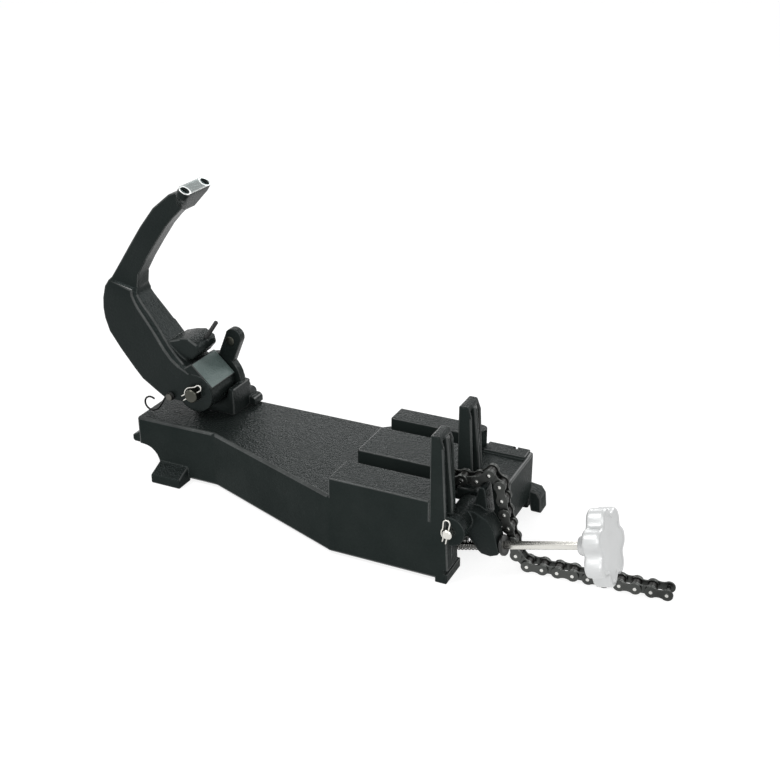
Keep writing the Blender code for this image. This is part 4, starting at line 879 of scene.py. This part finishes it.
def inner_link(index, place, body):
    """Two bored plates and the two rollers between them."""
    shape = Shape()
    link_plate(shape, INNER_HALF, INNER_HALF + PLATE_THICKNESS, BORE_RADIUS)
    link_plate(shape, -INNER_HALF - PLATE_THICKNESS, -INNER_HALF, BORE_RADIUS)
    for x in (0.0, PITCH):
        # The rollers take the painted shade finish.
        shape.skin(turned_rings(shape, ROLLER_PROFILE, ROLLER_SIDES, "Y", x), TURNED)
    shape.make(f"chain_link_{index:02d}_rolled", place, [FINISHES["oiled_chain_steel"], ROLLER_SHADE],
               FINE_CREASE, body, "oiled_chain_steel", [f"chain_link_{index:02d}_inner"])


def outer_link(index, place, body):
    """Two plates and the two riveted pins through them, bright at the ends."""
    shape = Shape()
    link_plate(shape, OUTER_HALF, OUTER_HALF + PLATE_THICKNESS, 0.0)
    link_plate(shape, -OUTER_HALF - PLATE_THICKNESS, -OUTER_HALF, 0.0)
    for x in (0.0, PITCH):
        rings = turned_rings(shape, PIN_PROFILE, PIN_SIDES, "Y", x)
        # The pin ends take the painted highlight finish.
        for bands, finish in ((rings[:2], TURNED), (rings[1:-1], PLATES), (rings[-2:], TURNED)):
            shape.skin(bands, finish)
        shape.cap(rings, TURNED)
    shape.make(f"chain_link_{index:02d}_riveted", place, [FINISHES["oiled_chain_steel"], PIN_END_HIGHLIGHT],
               FINE_CREASE, body, "oiled_chain_steel", [f"chain_link_{index:02d}_outer"])


def roller_chain():
    """Inner and outer links in turn, each at its pin and heading."""
    for number, (pin, heading) in enumerate(chain_route(), 1):
        turn = Matrix.Rotation(CHAIN_YAW, 4, "Z") @ Matrix.Rotation(-heading, 4, "Y")
        make = inner_link if number % 2 else outer_link
        make(number, Matrix.Translation(pin) @ turn, MOVING_LINKS.get(number, "base"))


roller_chain()


# The plain pin in the bracket's lug, measured from under its head.

LUG_PIN_PLACE = spot(87.0, 72.08, 154.0)
LUG_PIN_SIDES = 28
LUG_PIN_PROFILE = (
    (-0.75, 4.4), (-0.6, 5.2), (-0.25, 5.7), (0.0, 5.8), (0.0, 4.3),
    (9.0, 4.3), (9.0, 5.8), (10.6, 5.8), (11.0, 5.2),
)


def lug_pin():
    """The pin, with a head on each side of the lug."""
    shape = Shape()
    rings = turned_rings(shape, LUG_PIN_PROFILE, LUG_PIN_SIDES, "Y")
    shape.skin(rings)
    shape.cap(rings)
    shape.make("lug_pin", Matrix.Translation(LUG_PIN_PLACE), [FINISHES["plain_steel"]], FINE_CREASE,
               "base", "plain_steel", [])


lug_pin()


# Stage, light and camera. Lamps are placed and sized in metres.

WHITE = (1.0, 1.0, 1.0, 1.0)
FLOOR_HALF = 6.0
FLOOR_COLOUR = (0.86, 0.86, 0.86, 1.0)
FLOOR_ROUGHNESS = 0.9
FLOOR_GLOSS = 0.1
FLOOR_GLOW = 1.34
FLOOR_GLOW_SHARE = 0.62
WORLD_STRENGTHS = (0.5, 1.0)  # as a light, and as seen
LAMPS = (  # name, place, aim, side, power in watts
    ("front_softbox", (0.35, -1.7, 0.9), (0.0, 0.0, 0.1), 0.8, 7.0),
    ("top_softbox", (-0.75, -0.85, 1.65), (0.0, 0.0, 0.1), 0.6, 12.0),
    ("right_strip", (1.2, -1.1, 1.1), (0.0, 0.0, 0.1), 0.45, 4.0),
    ("left_strip", (-1.75, -0.05, 0.5), (-0.1, 0.0, 0.15), 0.4, 1.0),
    ("back_softbox", (-0.75, 1.5, 0.95), (0.0, 0.0, 0.1), 0.35, 3.5),
    ("right_back_softbox", (0.5, 1.4, 0.85), (0.0, 0.0, 0.15), 0.7, 6.0),
)
CAMERA_PLACE = spot(813.3, -1043.8, 710.2)
CAMERA_TURN = math.radians(25.07)
CAMERA_TILT = math.radians(25.15)
CAMERA_LENS = 57.15
SENSOR_WIDTH = 36.0
CLIP_END = 20.0


def seen_rays(tree):
    """1 where a surface is seen, straight or in a reflection, and 0 where it only gives light."""
    rays = tree.nodes.new("ShaderNodeLightPath").outputs
    seen = maths(tree, "MAXIMUM", rays["Is Camera Ray"], rays["Is Glossy Ray"])
    return maths(tree, "MAXIMUM", seen, rays["Is Transmission Ray"])


def floor_finish():
    """Pale floor that shows white to the camera and keeps a soft shadow."""
    made, tree, shader = finish_tree("pale_floor")
    shader.inputs["Base Color"].default_value = FLOOR_COLOUR
    shader.inputs["Roughness"].default_value = FLOOR_ROUGHNESS
    shader.inputs["Specular IOR Level"].default_value = FLOOR_GLOSS
    glow = add(tree, "ShaderNodeEmission", Color=WHITE, Strength=FLOOR_GLOW)
    mix = tree.nodes.new("ShaderNodeMixShader")
    tree.links.new(maths(tree, "MULTIPLY", seen_rays(tree), FLOOR_GLOW_SHARE), mix.inputs["Fac"])
    tree.links.new(shader.outputs["BSDF"], mix.inputs[1])
    tree.links.new(glow.outputs["Emission"], mix.inputs[2])
    tree.links.new(mix.outputs["Shader"], tree.nodes["Material Output"].inputs["Surface"])
    return made


def studio():
    """Floor, world and lamps."""
    shape = bmesh.new()
    bmesh.ops.create_grid(shape, x_segments=1, y_segments=1, size=FLOOR_HALF)
    mesh = bpy.data.meshes.new("floor")
    shape.to_mesh(mesh)
    shape.free()
    floor = add_object("floor", mesh)
    mesh.materials.append(floor_finish())

    world = bpy.data.worlds.new("studio")
    bpy.context.scene.world = world
    world.use_nodes = True
    tree = world.node_tree
    background = tree.nodes["Background"]
    background.inputs["Color"].default_value = WHITE
    tree.links.new(blend_value(tree, seen_rays(tree), *WORLD_STRENGTHS), background.inputs["Strength"])

    for label, place, target, side, power in LAMPS:
        lamp = bpy.data.lights.new(label, "AREA")
        lamp.energy = power
        lamp.shape = "SQUARE"
        lamp.size = side
        holder = add_object(label, lamp)
        holder.location = place
        holder.rotation_mode = "QUATERNION"
        holder.rotation_quaternion = (Vector(target) - Vector(place)).to_track_quat("-Z", "Y")


def camera():
    """The photograph's own view."""
    data = bpy.data.cameras.new("camera")
    data.sensor_fit = "HORIZONTAL"
    data.sensor_width = SENSOR_WIDTH
    data.lens = CAMERA_LENS
    data.clip_end = CLIP_END
    made = add_object("camera", data)
    made.location = CAMERA_PLACE
    level = math.cos(CAMERA_TILT)
    back = Vector((math.sin(CAMERA_TURN) * level, -math.cos(CAMERA_TURN) * level, math.sin(CAMERA_TILT)))
    made.rotation_mode = "QUATERNION"
    made.rotation_quaternion = (-back).to_track_quat("-Z", "Y")
    bpy.context.scene.camera = made


studio()
camera()
bpy.context.scene.view_settings.view_transform = "Standard"
